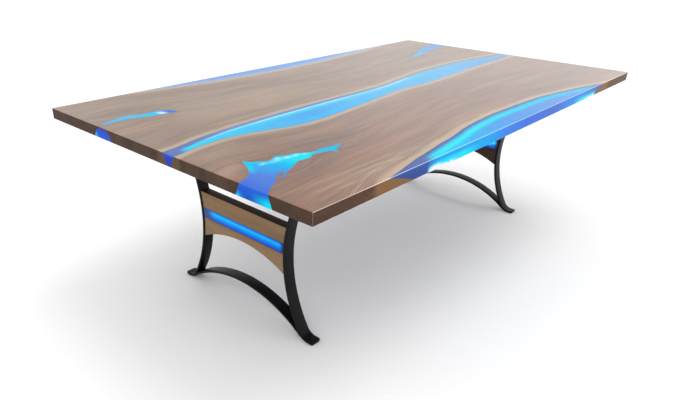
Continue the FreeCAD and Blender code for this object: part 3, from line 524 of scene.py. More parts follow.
def walnut(name, base, deep, warm, cream, ring=110.0, fibre=0.26, rough=0.28, gloss=0.5,
           ring_amount=0.20, hairs=0.24, sapwood=0.036, coat=0.0, scorch=0.40):
    """Oiled walnut. The grain attribute runs along, across and through the
    board, in metres; edge is the distance from a live edge."""
    k = Mat(name)
    u, v, w = k.xyz(k.attr("grain", "Vector"))
    wave = k.noise(k.vec(k.m("MULTIPLY", u, 1.3), k.m("MULTIPLY", v, 4.0), k.m("MULTIPLY", w, 3.0)),
                   1.0, 3.0, 0.55)
    v2 = k.m("ADD", v, k.m("MULTIPLY", k.m("SUBTRACT", wave, 0.5), 0.085))
    # growth rings about a pith below the board
    r = k.m("SQRT", k.m("ADD", k.m("POWER", k.m("SUBTRACT", v2, 0.26), 2.0),
                        k.m("POWER", k.m("ADD", w, 0.105), 2.0)))
    wob = k.noise(k.vec(k.m("MULTIPLY", u, 5.0), k.m("MULTIPLY", v2, 26.0), k.m("MULTIPLY", w, 26.0)),
                  1.0, 2.0, 0.5)
    rr = k.m("ADD", k.m("MULTIPLY", r, ring), k.m("MULTIPLY", wob, 1.5))
    saw = k.m("FRACT", rr)
    late = k.ramp(saw, [(0.0, (0.0,) * 3), (0.45, (0.12,) * 3), (0.86, (0.95,) * 3), (1.0, (0.05,) * 3)])
    # broad drifts of tone, fibres, pores
    drift = k.noise(k.vec(k.m("MULTIPLY", u, 1.6), k.m("MULTIPLY", v2, 11.0), k.m("MULTIPLY", w, 9.0)),
                    1.0, 4.0, 0.6)
    blush = k.noise(k.vec(k.m("MULTIPLY", u, 1.9), k.m("MULTIPLY", v2, 5.0), 3.7), 1.0, 3.0, 0.5)
    fib = k.noise(k.vec(k.m("MULTIPLY", u, 9.0), k.m("MULTIPLY", v2, 380.0), k.m("MULTIPLY", w, 380.0)),
                  1.0, 4.0, 0.62)
    hair = k.noise(k.vec(k.m("MULTIPLY", u, 3.2), k.m("MULTIPLY", v2, 135.0), k.m("MULTIPLY", w, 135.0)),
                   1.0, 3.0, 0.58)
    pore = k.noise(k.vec(k.m("MULTIPLY", u, 60.0), k.m("MULTIPLY", v2, 1500.0), k.m("MULTIPLY", w, 1500.0)),
                   1.0, 1.0, 0.5)
    vein = k.noise(k.vec(k.m("MULTIPLY", u, 1.2), k.m("MULTIPLY", v2, 46.0), k.m("MULTIPLY", w, 46.0)),
                   1.0, 3.0, 0.62)
    col = k.mix(k.span(drift, 0.30, 0.72), base, deep)
    col = k.mix(k.m("MULTIPLY", k.span(blush, 0.46, 0.74), 0.60), col, warm)
    dark = tuple(c * 0.50 for c in deep)
    show = k.m("ADD", k.m("MULTIPLY", k.attr("figure"), 0.45), ring_amount)
    col = k.mix(k.m("MULTIPLY", late, show), col, dark)
    col = k.mix(k.m("MULTIPLY", k.span(fib, 0.50, 0.80), fibre), col, dark)
    col = k.mix(k.m("MULTIPLY", k.span(vein, 0.56, 0.70), hairs * 0.9), col, dark)
    col = k.mix(k.m("MULTIPLY", k.span(hair, 0.54, 0.76), hairs), col, dark)
    col = k.mix(k.m("MULTIPLY", k.span(hair, 0.44, 0.24), hairs * 0.5), col, cream)
    col = k.mix(k.m("MULTIPLY", k.span(pore, 0.66, 0.80), 0.35), col, tuple(c * 0.3 for c in deep))
    # stains and reddish fields placed along the board
    tint = k.node("ShaderNodeSeparateColor", None, Color=k.attr("tint", "Color")).outputs
    col = k.mix(k.m("MULTIPLY", tint[0], 0.75), col, tuple(c * 0.42 for c in deep))
    col = k.mix(k.m("MULTIPLY", tint[1], 0.60), col, warm)
    # sapwood along the live edges, with a few paler lines farther in
    edge = k.attr("edge")
    frill = k.noise(k.vec(k.m("MULTIPLY", u, 4.5), k.m("MULTIPLY", v2, 30.0), k.m("MULTIPLY", w, 45.0)), 1.0, 3.0, 0.6)
    e2 = k.m("ADD", edge, k.m("MULTIPLY", k.m("SUBTRACT", frill, 0.5), 0.030))
    sap = k.span(e2, sapwood, sapwood * 0.35)
    lines = k.m("MULTIPLY", k.span(hair, 0.50, 0.62), k.span(e2, 0.085, 0.030))
    sap_col = k.mix(k.span(fib, 0.35, 0.75), cream, tuple(c * 0.80 for c in cream))
    col = k.mix(k.m("MULTIPLY", lines, 0.40), col, cream)
    col = k.mix(k.m("MULTIPLY", tint[2], 0.85), col, cream)
    col = k.mix(k.m("MULTIPLY", sap, 0.86), col, sap_col)
    # a thin scorched line where wood meets resin
    col = k.mix(k.span(edge, 0.0040, 0.0008, 0.0, scorch), col, tuple(c * 0.55 for c in deep))
    void = k.attr("void")
    col = k.mix(k.span(void, 0.016, 0.0, 0.0, 0.35), col, tuple(c * 0.55 for c in warm))
    # a few pale growth lines that curve away from the live edge
    arc = k.m("ADD", k.attr("arc"), k.m("MULTIPLY", k.m("SUBTRACT", wob, 0.5), 0.004))
    arcs = 0.0
    for at_mm, much in ((0.0, 0.8), (7.0, 0.6), (-13.0, 0.3), (18.0, 0.25), (-24.0, 0.25), (27.0, 0.2)):
        near = k.m("ABSOLUTE", k.m("SUBTRACT", arc, at_mm * 0.001))
        arcs = k.m("MAXIMUM", arcs, k.m("MULTIPLY", k.span(near, 0.0022, 0.0004), much))
    col = k.mix(k.m("MULTIPLY", arcs, k.attr("arcs")), col, tuple(min(1.0, c * 1.25) for c in cream))
    # a painted highlight along the eased arris of the long faces
    col = k.mix(k.m("MULTIPLY", k.attr("arris_highlight"), 0.9), col, (0.86, 0.80, 0.72))
    k.set(Base_Color=col)
    rg = k.m("ADD", k.m("MULTIPLY", k.m("SUBTRACT", hair, 0.5), 0.14), rough)
    rg = k.m("ADD", rg, k.m("MULTIPLY", k.span(fib, 0.5, 0.8), 0.08))
    k.set(Roughness=rg)
    k.bsdf.inputs["IOR"].default_value = 1.48
    k.bsdf.inputs["Specular IOR Level"].default_value = gloss
    k.bsdf.inputs["Coat Weight"].default_value = coat
    k.bsdf.inputs["Coat Roughness"].default_value = 0.12
    h = k.m("ADD", k.m("MULTIPLY", fib, 0.6), k.m("MULTIPLY", pore, 0.4))
    k.bump(h, 0.10, 0.0006)
    return k.mat


def resin(name, strength=1.0):
    """Cast blue resin lit from below. The glow attribute holds the light that
    comes up through it."""
    k = Mat(name)
    p = k.here()
    haze = k.noise(p, 16.0, 3.0, 0.55)
    fine = k.noise(p, 90.0, 2.0, 0.5)
    wisp = k.m("MULTIPLY", k.m("SUBTRACT", haze, 0.5), 0.003)
    # a dull rim along the live edge, then the lit body
    step = k.span(k.m("ADD", k.attr("seam"), wisp), -0.0018, 0.0018)
    light = k.mix(step, k.attr("rim", "Color"), k.attr("glow", "Color"))
    light = k.mix(k.span(haze, 0.30, 0.75, 0.0, 0.10), light, lin(20, 80, 215))
    light = k.mix(k.span(fine, 0.62, 0.80, 0.0, 0.05), light, (0.7, 0.95, 1.0))
    # a narrow bright streak where the light runs
    off = k.m("ABSOLUTE", k.m("ADD", k.attr("streak"), wisp))
    core = k.m("ADD", k.m("MULTIPLY", k.span(off, 0.0045, 0.0012), 0.75), k.m("MULTIPLY", k.span(off, 0.013, 0.0), 0.25))
    light = k.mix(k.m("MULTIPLY", core, k.attr("shine")), light, lin(214, 251, 255))
    k.set(Base_Color=k.mix(haze, lin(4, 12, 40), lin(6, 18, 54)), Emission_Color=light)
    k.bsdf.inputs["Emission Strength"].default_value = strength
    k.set(Roughness=k.m("ADD", k.m("MULTIPLY", fine, 0.05), 0.10))
    k.bsdf.inputs["IOR"].default_value = 1.50
    k.bsdf.inputs["Specular IOR Level"].default_value = GLOSS
    k.bump(k.noise(p, 34.0, 2.0, 0.5), 0.02, 0.001)
    return k.mat


def black_steel():
    k = Mat("black_steel")
    p = k.here()
    cloud = k.noise(p, 7.0, 4.0, 0.6)
    grit = k.noise(p, 900.0, 2.0, 0.6)
    rub = k.noise(p, 55.0, 3.0, 0.6)
    col = k.mix(k.span(cloud, 0.3, 0.7), (0.0024, 0.0024, 0.0025), (0.0052, 0.0052, 0.0053))
    col = k.mix(k.span(grit, 0.58, 0.80, 0.0, 0.30), col, (0.018, 0.018, 0.018))
    k.set(Base_Color=col)
    k.set(Roughness=k.m("ADD", k.m("MULTIPLY", rub, 0.16), 0.30))
    k.bsdf.inputs["IOR"].default_value = 1.5
    k.bsdf.inputs["Specular IOR Level"].default_value = 0.12
    k.bump(k.m("ADD", k.m("MULTIPLY", grit, 0.5), rub), 0.12, 0.0005)
    return k.mat


def metal(name, col, rough, scale=260.0):
    k = Mat(name)
    p = k.here()
    a = k.noise(p, scale, 3.0, 0.6)
    b = k.noise(p, 28.0, 3.0, 0.6)
    k.set(Base_Color=k.mix(k.span(b, 0.3, 0.7), tuple(c * 0.8 for c in col), col))
    k.set(Roughness=k.m("ADD", k.m("MULTIPLY", a, 0.22), rough - 0.1))
    k.bsdf.inputs["Metallic"].default_value = 1.0
    k.bump(a, 0.08, 0.0003)
    return k.mat


def plastic(name, col, rough=0.45, grain=700.0, depth=0.15):
    k = Mat(name)
    p = k.here()
    a = k.noise(p, grain, 2.0, 0.5)
    b = k.noise(p, 18.0, 3.0, 0.6)
    k.set(Base_Color=k.mix(k.span(b, 0.25, 0.75), tuple(c * 0.82 for c in col), tuple(c * 1.12 for c in col)))
    k.set(Roughness=k.m("ADD", k.m("MULTIPLY", a, 0.14), rough - 0.07))
    k.bump(a, depth, 0.0004)
    return k.mat


def felt():
    k = Mat("felt")
    p = k.here()
    a = k.noise(p, 1400.0, 3.0, 0.7)
    k.set(Base_Color=k.mix(a, (0.012, 0.012, 0.012), (0.05, 0.048, 0.045)))
    k.set(Roughness=k.m("ADD", k.m("MULTIPLY", a, 0.1), 0.85))
    k.bump(a, 0.6, 0.0006)
    return k.mat


def lit_strip(name, dim, bright, power):
    k = Mat(name)
    p = k.here()
    a = k.noise(p, 60.0, 2.0, 0.5)
    k.set(Base_Color=k.mix(a, tuple(c * 0.25 for c in dim), tuple(c * 0.25 for c in bright)),
          Emission_Color=k.mix(a, dim, bright))
    k.bsdf.inputs["Emission Strength"].default_value = power
    k.set(Roughness=k.m("ADD", k.m("MULTIPLY", a, 0.1), 0.35))
    return k.mat


def board_green():
    k = Mat("board")
    p = k.here()
    a = k.noise(p, 240.0, 3.0, 0.6)
    b = k.noise(p, 1200.0, 2.0, 0.5)
    k.set(Base_Color=k.mix(k.span(a, 0.45, 0.55), lin(16, 66, 38), lin(26, 92, 54)))
    k.set(Roughness=k.m("ADD", k.m("MULTIPLY", b, 0.2), 0.35))
    k.bump(a, 0.2, 0.0002)
    return k.mat


# --------------------------------------------------------------- the outlines
STEP = 7.0


def carried(pts, sign):
    """An edge river's boundary carried past the long face of the top."""
    return [(pts[0][0] - 260.0, pts[0][1] + sign * 45.0),
            (pts[0][0] - 120.0, pts[0][1] + sign * 22.0)] + list(pts) + \
        [(pts[-1][0] + 120.0, pts[-1][1] + sign * 24.0),
         (pts[-1][0] + 260.0, pts[-1][1] + sign * 45.0)]


def drawn_out(pts, x0, x1):
    """A live edge carried past both ends of the top."""
    (xa, ya), (xb, yb) = pts[0], pts[1]
    (xc, yc), (xd, yd) = pts[-2], pts[-1]
    return [(x0, ya + (yb - ya) / (xb - xa) * (x0 - xa))] + list(pts) + \
        [(x1, yd + (yd - yc) / (xd - xc) * (x1 - xd))]


def weathered(c, seed, amount=0.9):
    """Small natural waver along a live edge."""
    c = c.copy()
    c[:, 1] += amount * ripple(c[:, 0], seed, 46.0) + 0.45 * amount * ripple(c[:, 0], seed + 3, 17.0)
    return c


mid_rear = weathered(spline(drawn_out(MID_REAR, -1320, 1222), STEP), 1)
mid_front = weathered(spline(drawn_out(MID_FRONT, -1320, 1222), STEP), 2)
front_edge = weathered(spline(carried(FRONT_EDGE, -1), STEP), 3)
rear_edge = weathered(spline(carried(REAR_EDGE, 1), STEP), 4)
down = np.array([0.0, 1.0])

eye_top = refine(EYE_TOP, 5.0)
eye_mid = moved_with(EYE_TOP, [EYE_WIDE.get(p, (p, p))[0] for p in EYE_TOP], 5.0)
eye_low = moved_with(EYE_TOP, [EYE_WIDE.get(p, (p, p))[1] for p in EYE_TOP], 5.0)
EYE = (eye_top, eye_low, (758.0, eye_top), (756.0, eye_mid), (743.0, eye_mid + 0.64 * (eye_low - eye_mid)))

knot_top = refine(KNOT_TOP, 4.5)
kk = np.clip((-1100.0 - knot_top[:, 0]) / 110.0, 0, 1)
knot_low = np.column_stack((knot_top[:, 0], -453.0 + (knot_top[:, 1] + 453.0) * (1.0 + 0.28 * kk)))
far_top = refine(FAR_TOP, 6.0)


def at(curve, x):
    return np.interp(x, curve[:, 0], curve[:, 1])


def run(x0, x1, y, n=24):
    return np.column_stack((np.linspace(x0, x1, n), np.full(n, float(y))))


# --------------------------------------------------------- slabs of the top
def slab_outline(inner, outer, sign):
    """Outline of a slab between the middle river and the outer live edge."""
    y_out = outer[0][1]
    up = [inner, run(1222, outer[-1][0] + 8, y_out, 12), outer[::-1], run(outer[0][0] - 8, -1320, y_out, 18)]
    dn = [inner - sign * LEAN * down, run(1222, outer[-1][0] + 8, y_out + sign * LEAN, 12),
          outer[::-1] + sign * LEAN * down, run(outer[0][0] - 8, -1320, y_out + sign * LEAN, 18)]
    return np.vstack(up), np.vstack(dn)


bm = prism(slab_outline(mid_rear, rear_edge, 1.0), [EYE, (far_top, far_top)], 3, 15.0)
trim_to_top(bm, (-1, 1), (1,))
slab_rear = solid("slab_rear_live_edge", bm)
bm = prism(slab_outline(mid_front, front_edge, -1.0), [(knot_top, knot_low)], 3, 15.0)
trim_to_top(bm, (-1, 1), (-1,))
slab_front = solid("slab_front_live_edge", bm)


def dress_slab(ob, inner, outer, outer_ends, voids, swirls, stains, reds, creams, arc=None):
    """Grain, edge and stain fields of a slab."""
    co = coords(ob)
    x, y, z = co.T
    yi, yo = at(inner, x), at(outer, x)
    u = (y - yi) / (yo - yi)
    across = 0.58 * u
    for cx, cy, sx, sy, amount in swirls:
        across = across + amount * np.exp(-((x - cx) / sx) ** 2 - ((y - cy) / sy) ** 2)
    put_vector(ob, "grain", np.column_stack((x * 0.001, across, (z - TOP) * 0.001)))
    # the sapwood runs out where the outer edge passes the long face
    past = np.maximum(outer_ends[0] - x, x - outer_ends[1])
    d_out = Near([outer])(co[:, :2]) + 62.0 * sm(20, 190, past)
    d_in = Near([inner])(co[:, :2])
    put_float(ob, "edge", np.minimum(d_in, d_out) * 0.001)
    # painted highlight along the upper arris of the long faces, at half strength at the near end
    put_float(ob, "arris_highlight", sm(LY - 1.7, LY - 1.4, np.abs(y)) * sm(TOP - 1.7, TOP - 1.4, z)
              * (0.5 + 0.5 * sm(-1060, -860, x)))
    put_float(ob, "void", Near(voids, closed=True)(co[:, :2]) * 0.001)
    put_float(ob, "figure", sum(abs(a) / 0.085 * np.exp(-((x - cx) / (1.4 * sx)) ** 2 - ((y - cy) / (1.4 * sy)) ** 2)
                                for cx, cy, sx, sy, a in swirls))
    put_float(ob, "arc", (y - at(np.array(arc, float), x)) * 0.001 if arc else np.ones(len(x)))
    put_float(ob, "arcs", 0.7 * sm(arc[0][0], arc[0][0] + 40, x) * (1 - sm(arc[-1][0] - 160, arc[-1][0], x))
              * sm(TOP - 1.6, TOP - 0.1, z) if arc else np.zeros(len(x)))
    tint = np.zeros((len(co), 3))
    for ch, marks in enumerate((stains, reds, creams)):
        for x0, x1, u0, u1, wide, amount in marks:
            t = np.clip((x - x0) / (x1 - x0), 0, 1)
            mid = u0 + (u1 - u0) * t
            fade = sm(x0, x0 + 0.3 * (x1 - x0), x) * (1 - sm(x1 - 0.45 * (x1 - x0), x1, x))
            tint[:, ch] += amount * fade * np.exp(-((u - mid) / wide) ** 2)
    put_colour(ob, "tint", np.clip(tint, 0, 1))


dress_slab(
    slab_rear, mid_rear, rear_edge, (-808, 858), [eye_top, far_top],
    swirls=[(-1045, 360, 150, 60, 0.045), (-880, 300, 70, 40, -0.03), (560, 330, 120, 70, 0.03),
            (900, 390, 220, 70, 0.04), (-620, 120, 260, 70, -0.015)],
    stains=[(-935, -560, 0.475, 0.365, 0.012, 0.85), (-860, 120, 0.40, 0.42, 0.02, 0.40),
            (300, 620, 0.42, 0.44, 0.03, 0.40), (520, 640, 0.55, 0.55, 0.05, 0.40),
            (-1220, -500, 0.80, 0.86, 0.05, 0.26), (-1220, -820, 0.62, 0.66, 0.02, 0.45),
            (-700, 40, 0.66, 0.70, 0.02, 0.40), (-250, 560, 0.24, 0.30, 0.015, 0.35),
            (600, 1150, 0.30, 0.24, 0.03, 0.35),
            (-60, 720, 0.56, 0.62, 0.025, 0.40), (-420, 380, 0.47, 0.50, 0.018, 0.36), (320, 1060, 0.14, 0.18, 0.025, 0.34),
            (-640, 60, 0.30, 0.34, 0.016, 0.34), (420, 980, 0.74, 0.70, 0.03, 0.36)],
    reds=[(-700, 500, 0.25, 0.30, 0.10, 0.30)],
    creams=[(-1100, -200, 0.10, 0.09, 0.010, 0.30), (60, 700, 0.49, 0.52, 0.022, 0.26), (-480, 240, 0.40, 0.43, 0.016, 0.22), (-1050, -150, 0.40, 0.36, 0.20, 0.40)])
dress_slab(
    slab_front, mid_front, front_edge, (-884, 848), [knot_top],
    swirls=[(-1150, -300, 90, 70, 0.085), (-1010, -430, 130, 60, -0.05), (-880, -330, 120, 45, 0.035),
            (-700, -380, 150, 60, -0.03), (350, -330, 240, 90, 0.025)],
    stains=[(-1150, -500, 0.16, 0.14, 0.012, 0.55), (-560, 200, 0.40, 0.36, 0.02, 0.50),
            (-820, -240, 0.60, 0.62, 0.03, 0.45), (150, 700, 0.55, 0.50, 0.05, 0.35),
            (-860, -540, 0.585, 0.55, 0.012, 0.75), (-1000, -620, 0.30, 0.27, 0.012, 0.50),
            (-620, -60, 0.24, 0.20, 0.012, 0.45), (260, 720, 0.24, 0.30, 0.03, 0.50),
            (560, 1120, 0.48, 0.42, 0.03, 0.40), (-420, 120, 0.76, 0.80, 0.015, 0.45),
            (-1400, -760, 0.66, 0.70, 0.26, 0.04),
            (-40, 620, 0.64, 0.58, 0.025, 0.42), (280, 940, 0.37, 0.40, 0.025, 0.42), (480, 1220, 0.70, 0.62, 0.03, 0.36),
            (-320, 320, 0.52, 0.46, 0.018, 0.42), (-120, 520, 0.30, 0.33, 0.016, 0.36), (640, 1240, 0.24, 0.22, 0.03, 0.34)],
    reds=[(-1000, 150, 0.66, 0.66, 0.16, 0.55), (-700, 300, 0.38, 0.42, 0.12, 0.25), (-1400, -700, 0.66, 0.70, 0.24, 0.22)],
    creams=[(-1260, -1070, 0.37, 0.32, 0.06, 0.40), (-1215, -480, 0.80, 0.90, 0.012, 0.55), (-1215, -420, 0.86, 0.93, 0.010, 0.60),
            (-1180, -560, 0.74, 0.86, 0.010, 0.40), (-1230, -900, 0.14, 0.14, 0.08, 0.32),
             (250, 1800, 0.45, 0.45, 0.40, 0.12), (840, 1700, 0.97, 0.97, 0.10, 0.30),
             (60, 760, 0.46, 0.45, 0.022, 0.30), (460, 1160, 0.56, 0.52, 0.025, 0.28), (-380, 260, 0.58, 0.55, 0.016, 0.26)],
    arc=[(-1100, -690), (-1025, -655), (-961, -630), (-924, -617), (-870, -602), (-822, -592), (-774, -584),
         (-680, -572), (-560, -560)])

WOOD_FRONT = walnut("walnut_front_slab", lin(145, 102, 75), lin(101, 69, 50), lin(142, 88, 66), lin(176, 152, 122),
                    rough=0.20, coat=0.22, ring_amount=0.42, hairs=0.46, fibre=0.40)
WOOD_REAR = walnut("walnut_rear_slab", lin(147, 111, 82), lin(104, 78, 59), lin(140, 98, 73), lin(176, 152, 122),
                   rough=0.20, coat=0.22, ring_amount=0.38, hairs=0.42, fibre=0.36)
WOOD_END = walnut("walnut_end_grain", lin(81, 62, 49), lin(57, 43, 35), lin(79, 57, 45), lin(94, 74, 56),
                  ring=120.0, ring_amount=0.50, rough=0.55, gloss=0.10)
WOOD_SIDE = walnut("walnut_side", lin(80, 56, 43), lin(55, 38, 30), lin(92, 60, 40), lin(132, 94, 56),
                   rough=0.42, gloss=0.10, sapwood=0.040, hairs=0.42, fibre=0.40, scorch=0.0)
WOOD_BELOW = walnut("walnut_underside", lin(126, 96, 74), lin(96, 72, 55), lin(128, 90, 68),
                    lin(168, 142, 112), rough=0.55, gloss=0.25)


def wood_slots(ob, upper, along=0):
    """Top, end grain, side and underside finishes by the way a face points."""
    for m in (upper, WOOD_END, WOOD_SIDE, WOOD_BELOW):
        ob.data.materials.append(m)
    nrm = np.zeros(len(ob.data.polygons) * 3)
    ob.data.polygons.foreach_get("normal", nrm)
    nrm = nrm.reshape(-1, 3)
    side = 1 - along
    idx = np.zeros(len(nrm), np.int32)
    idx[np.abs(nrm[:, side]) > 0.75] = 2
    idx[np.abs(nrm[:, along]) > 0.75] = 1
    idx[nrm[:, 2] < -0.6] = 3
    ob.data.polygons.foreach_set("material_index", idx)


for ob, node, upper in ((slab_rear, "slab_rear", WOOD_REAR), (slab_front, "slab_front", WOOD_FRONT)):
    wood_slots(ob, upper)
    place(ob, node)

# ---------------------------------------------------------- resin of the top
ROWS = (728.0, 735.0, 743.0, 752.0)
shift = LEAN * down


def river_solid(curve, sign, far_y):
    """An edge river: between its live edge and a line past the long face."""
    n = len(curve)
    back = run(curve[-1][0], curve[0][0], far_y, n)
    return np.vstack((curve, back)), np.vstack((curve + sign * shift, back))


keep_r = mid_rear[mid_rear[:, 0] >= -1224]
keep_f = mid_front[mid_front[:, 0] >= -1224]
bm = prism((np.vstack((keep_r, keep_f[::-1])), np.vstack((keep_r - shift, (keep_f + shift)[::-1]))), [], 4, 7.0)
trim_to_top(bm, (-1, 1), (), ROWS)
river_middle = solid("river_middle_resin", bm)
bm = prism(river_solid(front_edge, -1.0, -770.0), [], 4, 7.5)
trim_to_top(bm, (), (-1,), ROWS)
river_front = solid("river_front_resin", bm)
bm = prism(river_solid(rear_edge, 1.0, 770.0), [], 4, 7.5)
trim_to_top(bm, (), (1,), ROWS)
river_rear = solid("river_rear_resin", bm)
bm = prism((knot_top, knot_low), [], 4, 5.0)
trim_to_top(bm, (-1,), (), ROWS)
knot_fill = solid("knot_resin", bm)
bm = prism(EYE, [], 4, 5.0)
trim_to_top(bm, (-1,), (), ROWS)
eye_fill = solid("eye_resin", bm)
bm = prism((far_top, far_top), [], 4, 7.0)
trim_to_top(bm, (1,), (), ROWS)
far_fill = solid("far_void_resin", bm)

VIOLET, INDIGO, ROYAL = lin(84, 104, 205), lin(46, 62, 176), lin(44, 84, 228)
AZURE, CYAN, SKY = lin(14, 138, 246), lin(10, 214, 250), lin(92, 174, 248)
PALE, ICE, LAV = lin(128, 196, 244), lin(190, 246, 255), lin(150, 176, 238)


def along(x, *stops):
    """Colour that changes along the table, between a few stops."""
    xs = [q[0] for q in stops]
    cs = np.array([lin(*q[1]) for q in stops])
    return np.column_stack([np.interp(x, xs, cs[:, i]) for i in range(3)])


def under_glow(d):
    """Light of a strip seen from below, by distance from it."""
    c = mixc(lin(120, 232, 255), lin(6, 140, 244), sm(4, 26, d))
    return mixc(c, lin(10, 34, 120), sm(18, 75, d))


STRIP_MID = spline([(-860, -40), (-730, -52), (-574, -58), (-336, -46), (-98, -34), (60, -25),
                    (219, -16), (378, -4), (536, 4), (695, 11), (854, 8), (1000, 1)], 10)
STRIP_KNOT = spline([(-1180, -448), (-1100, -400), (-1030, -372), (-950, -362), (-880, -373),
                     (-830, -376), (-780, -379)], 8)
STRIP_EYE = spline([(-1180, 312), (-1130, 338), (-1092, 356), (-1062, 358), (-1020, 343),
                    (-970, 334), (-930, 328), (-880, 325), (-780, 326)], 8)
STRIP_FAR = spline([(796, 331), (900, 367), (1000, 396), (1100, 414), (1180, 426)], 8)


def dress_resin(ob, top, side, strip):
    """Blends the light on the upper face into the light on the cut faces."""
    co = coords(ob)
    x, y, z = co.T
    got = top(x, y)
    none = np.zeros(len(x))
    body, rim, seam, streak, shine = got if isinstance(got, tuple) else (got, got, none + 50, none + 50, none)
    cut = side(x, y, z)
    # painted highlight: a near-white line along the upper arris of the long faces
    line = sm(LY - 1.7, LY - 1.4, np.abs(y)) * sm(TOP - 1.7, TOP - 1.4, z)
    low = under_glow(Near([strip])(co[:, :2]))
    for name, c in (("glow", body), ("rim", rim)):
        c = mixc(c, cut, sm(0.4, 2.6, TOP - z))
        c = mixc(c, lin(232, 244, 255), 0.66 * line)
        put_colour(ob, name, mixc(c, low, sm(LOW + 0.6, LOW + 0.05, z)))
    put_float(ob, "seam", seam * 0.001)
    put_float(ob, "streak", streak * 0.001)
    put_float(ob, "shine", np.clip(shine, 0, 1) * sm(TOP - 1.5, TOP - 0.1, z))


def middle_top(x, y):
    dr = at(mid_rear, x) - y
    df = y - at(mid_front, x)
    # rim and body grow paler and greyer toward the far end: glow, partly painted reflection
    rim = along(x, (-1060, (107, 126, 179)), (-900, (120, 148, 204)), (-400, (112, 154, 202)),
                (50, (148, 174, 190)), (800, (141, 170, 180)), (1200, (140, 155, 169)))
    body = along(x, (-900, (70, 198, 242)), (-550, (76, 172, 232)), (-180, (98, 190, 235)),
                 (600, (114, 186, 228)), (1200, (122, 158, 194)))
    cyan = along(x, (-1100, (50, 210, 238)), (-600, (58, 216, 240)), (-300, (90, 216, 237)),
                 (300, (106, 202, 228)), (900, (117, 180, 212)))
    off = dr - 22.0 - 4.0 * sm(-900, -1040, x) - 4.0 * sm(100, 350, x)
    c = mixc(cyan, body, sm(12, 42, off))
    c = mixc(c, lin(60, 196, 244), 0.7 * bell(df, 24, 20) * sm(-720, -600, x) * (1 - sm(-240, -100, x)))
    c = mixc(c, lin(54, 211, 238), sm(-980, -1040, x) * sm(6, 20, off))
    c = mixc(c, rim, 0.55 * sm(8, 0, df))
    rim = mixc(rim, lin(84, 98, 150), 0.6 * sm(5.0, 0.5, dr))
    end = sm(-1135, -1172, x)
    c, rim = mixc(c, lin(99, 124, 179), end), mixc(rim, lin(99, 124, 179), end)
    shine = sm(-1090, -980, x) * (1 - sm(60, 420, x)) * (0.66 + 0.25 * ripple(x, 5, 130.0))
    return c, rim, off, off - 3.5, shine


def middle_side(x, y, z):
    t = (TOP - z) / 40.0
    return mixc(lin(42, 72, 196), lin(32, 58, 184), t)


def front_top(x, y):
    de = at(front_edge, x) - y
    # rim and body grow greyer toward the far end, and the tip past the strip is grey: partly painted reflection over
    # the glow
    rim = along(x, (-720, (95, 112, 167)), (-450, (87, 122, 185)), (0, (99, 134, 185)), (600, (98, 154, 189)))
    body = along(x, (-560, (20, 206, 238)), (-380, (50, 182, 236)), (-120, (78, 160, 230)), (320, (108, 157, 222)),
                 (620, (100, 168, 217)), (800, (116, 142, 177)))
    cyan = along(x, (-620, (4, 231, 242)), (-250, (4, 230, 242)), (0, (16, 216, 238)), (300, (38, 206, 234)),
                 (600, (82, 192, 230)))
    on = sm(-690, -618, x) * (1 - sm(620, 760, x))
    off = de - 20.0 + 3.0 * sm(200, 500, x)
    c = mixc(rim, mixc(cyan, body, sm(17, 38, off)), on)
    rim = mixc(rim, lin(56, 70, 112), 0.7 * sm(5.0, 0.5, de))
    tip = sm(690, 800, x)
    c, rim = mixc(c, lin(124, 138, 169), tip), mixc(rim, lin(124, 138, 169), tip)
    shine = 0.06 * sm(-640, -560, x) * (1 - sm(60, 380, x)) * (0.9 + 0.3 * ripple(x, 8, 110.0))
    return c, rim, 0.17 * (off + 2.0), de - 35.0 - 2.0 * ripple(x, 4, 90.0), shine


def front_side(x, y, z):
    t = (TOP - z) / 40.0
    c = along(x, (-790, (58, 84, 150)), (-690, (60, 92, 172)), (-620, (14, 168, 240)), (-300, (20, 170, 243)),
              (-170, (60, 134, 234)), (20, (66, 116, 220)), (300, (70, 114, 206)), (440, (56, 138, 228)),
              (600, (54, 146, 228)), (700, (64, 124, 202)), (800, (84, 96, 130)))
    low = sm(0.05, 0.8, t) * (1 - sm(-720, -660, x))
    c = mixc(c, lin(62, 76, 118), 0.75 * low)
    hot = sm(-690, -630, x) * (1 - sm(-470, -330, x))
    c = mixc(c, lin(28, 232, 250), sm(0.22, 0.62, t) * hot)
    wob = t + 0.07 * ripple(x, 7, 31.0) + 0.04 * ripple(x, 9, 9.0)
    white = sm(-682, -666, x) * (1 - sm(-560, -480, x))
    rise = 0.56 + 0.26 * sm(-660, -520, x)
    c = mixc(c, lin(252, 255, 255), sm(0.0, 0.14, wob - rise) * white)
    tip = sm(470, 600, x) * (1 - sm(725, 765, x))
    c = mixc(c, lin(48, 228, 240), sm(0.35, 0.75, t) * tip)
    tip = sm(610, 680, x) * (1 - sm(730, 760, x))
    return mixc(c, lin(240, 253, 255), sm(0.74, 0.92, wob) * tip)


def rear_top(x, y):
    de = y - at(rear_edge, x)
    c = mixc(lin(162, 180, 209), lin(132, 164, 214), sm(6, 36, de))
    c = mixc(c, lin(93, 173, 225), 0.5 * sm(36, 76, de) * sm(-620, -350, x) * (1 - sm(300, 620, x)))
    return mixc(c, lin(151, 169, 210), sm(-560, -760, x))


def rear_side(x, y, z):
    t = (TOP - z) / 40.0
    c = mixc(lin(58, 72, 186), lin(24, 126, 248), sm(-640, -380, x))
    c = mixc(c, lin(60, 96, 236), sm(60, 460, x))
    c = mixc(c, lin(0, 206, 255), sm(0.5, 0.95, t) * sm(-480, -360, x) * (1 - sm(420, 560, x)))
    return mixc(c, lin(40, 60, 196), 0.5 * sm(0.25, 0.0, t))


knot_near = Near([knot_top[1:-1]], closed=True)
SPOTS = [(-1061, -335, 12, 6, 0.75), (-997, -332, 10, 7, 1.0), (-966, -345, 12, 7, 1.0),
         (-934, -350, 14, 6, 0.95), (-1012, -343, 26, 8, 0.5), (-905, -361, 9, 5, 0.6)]


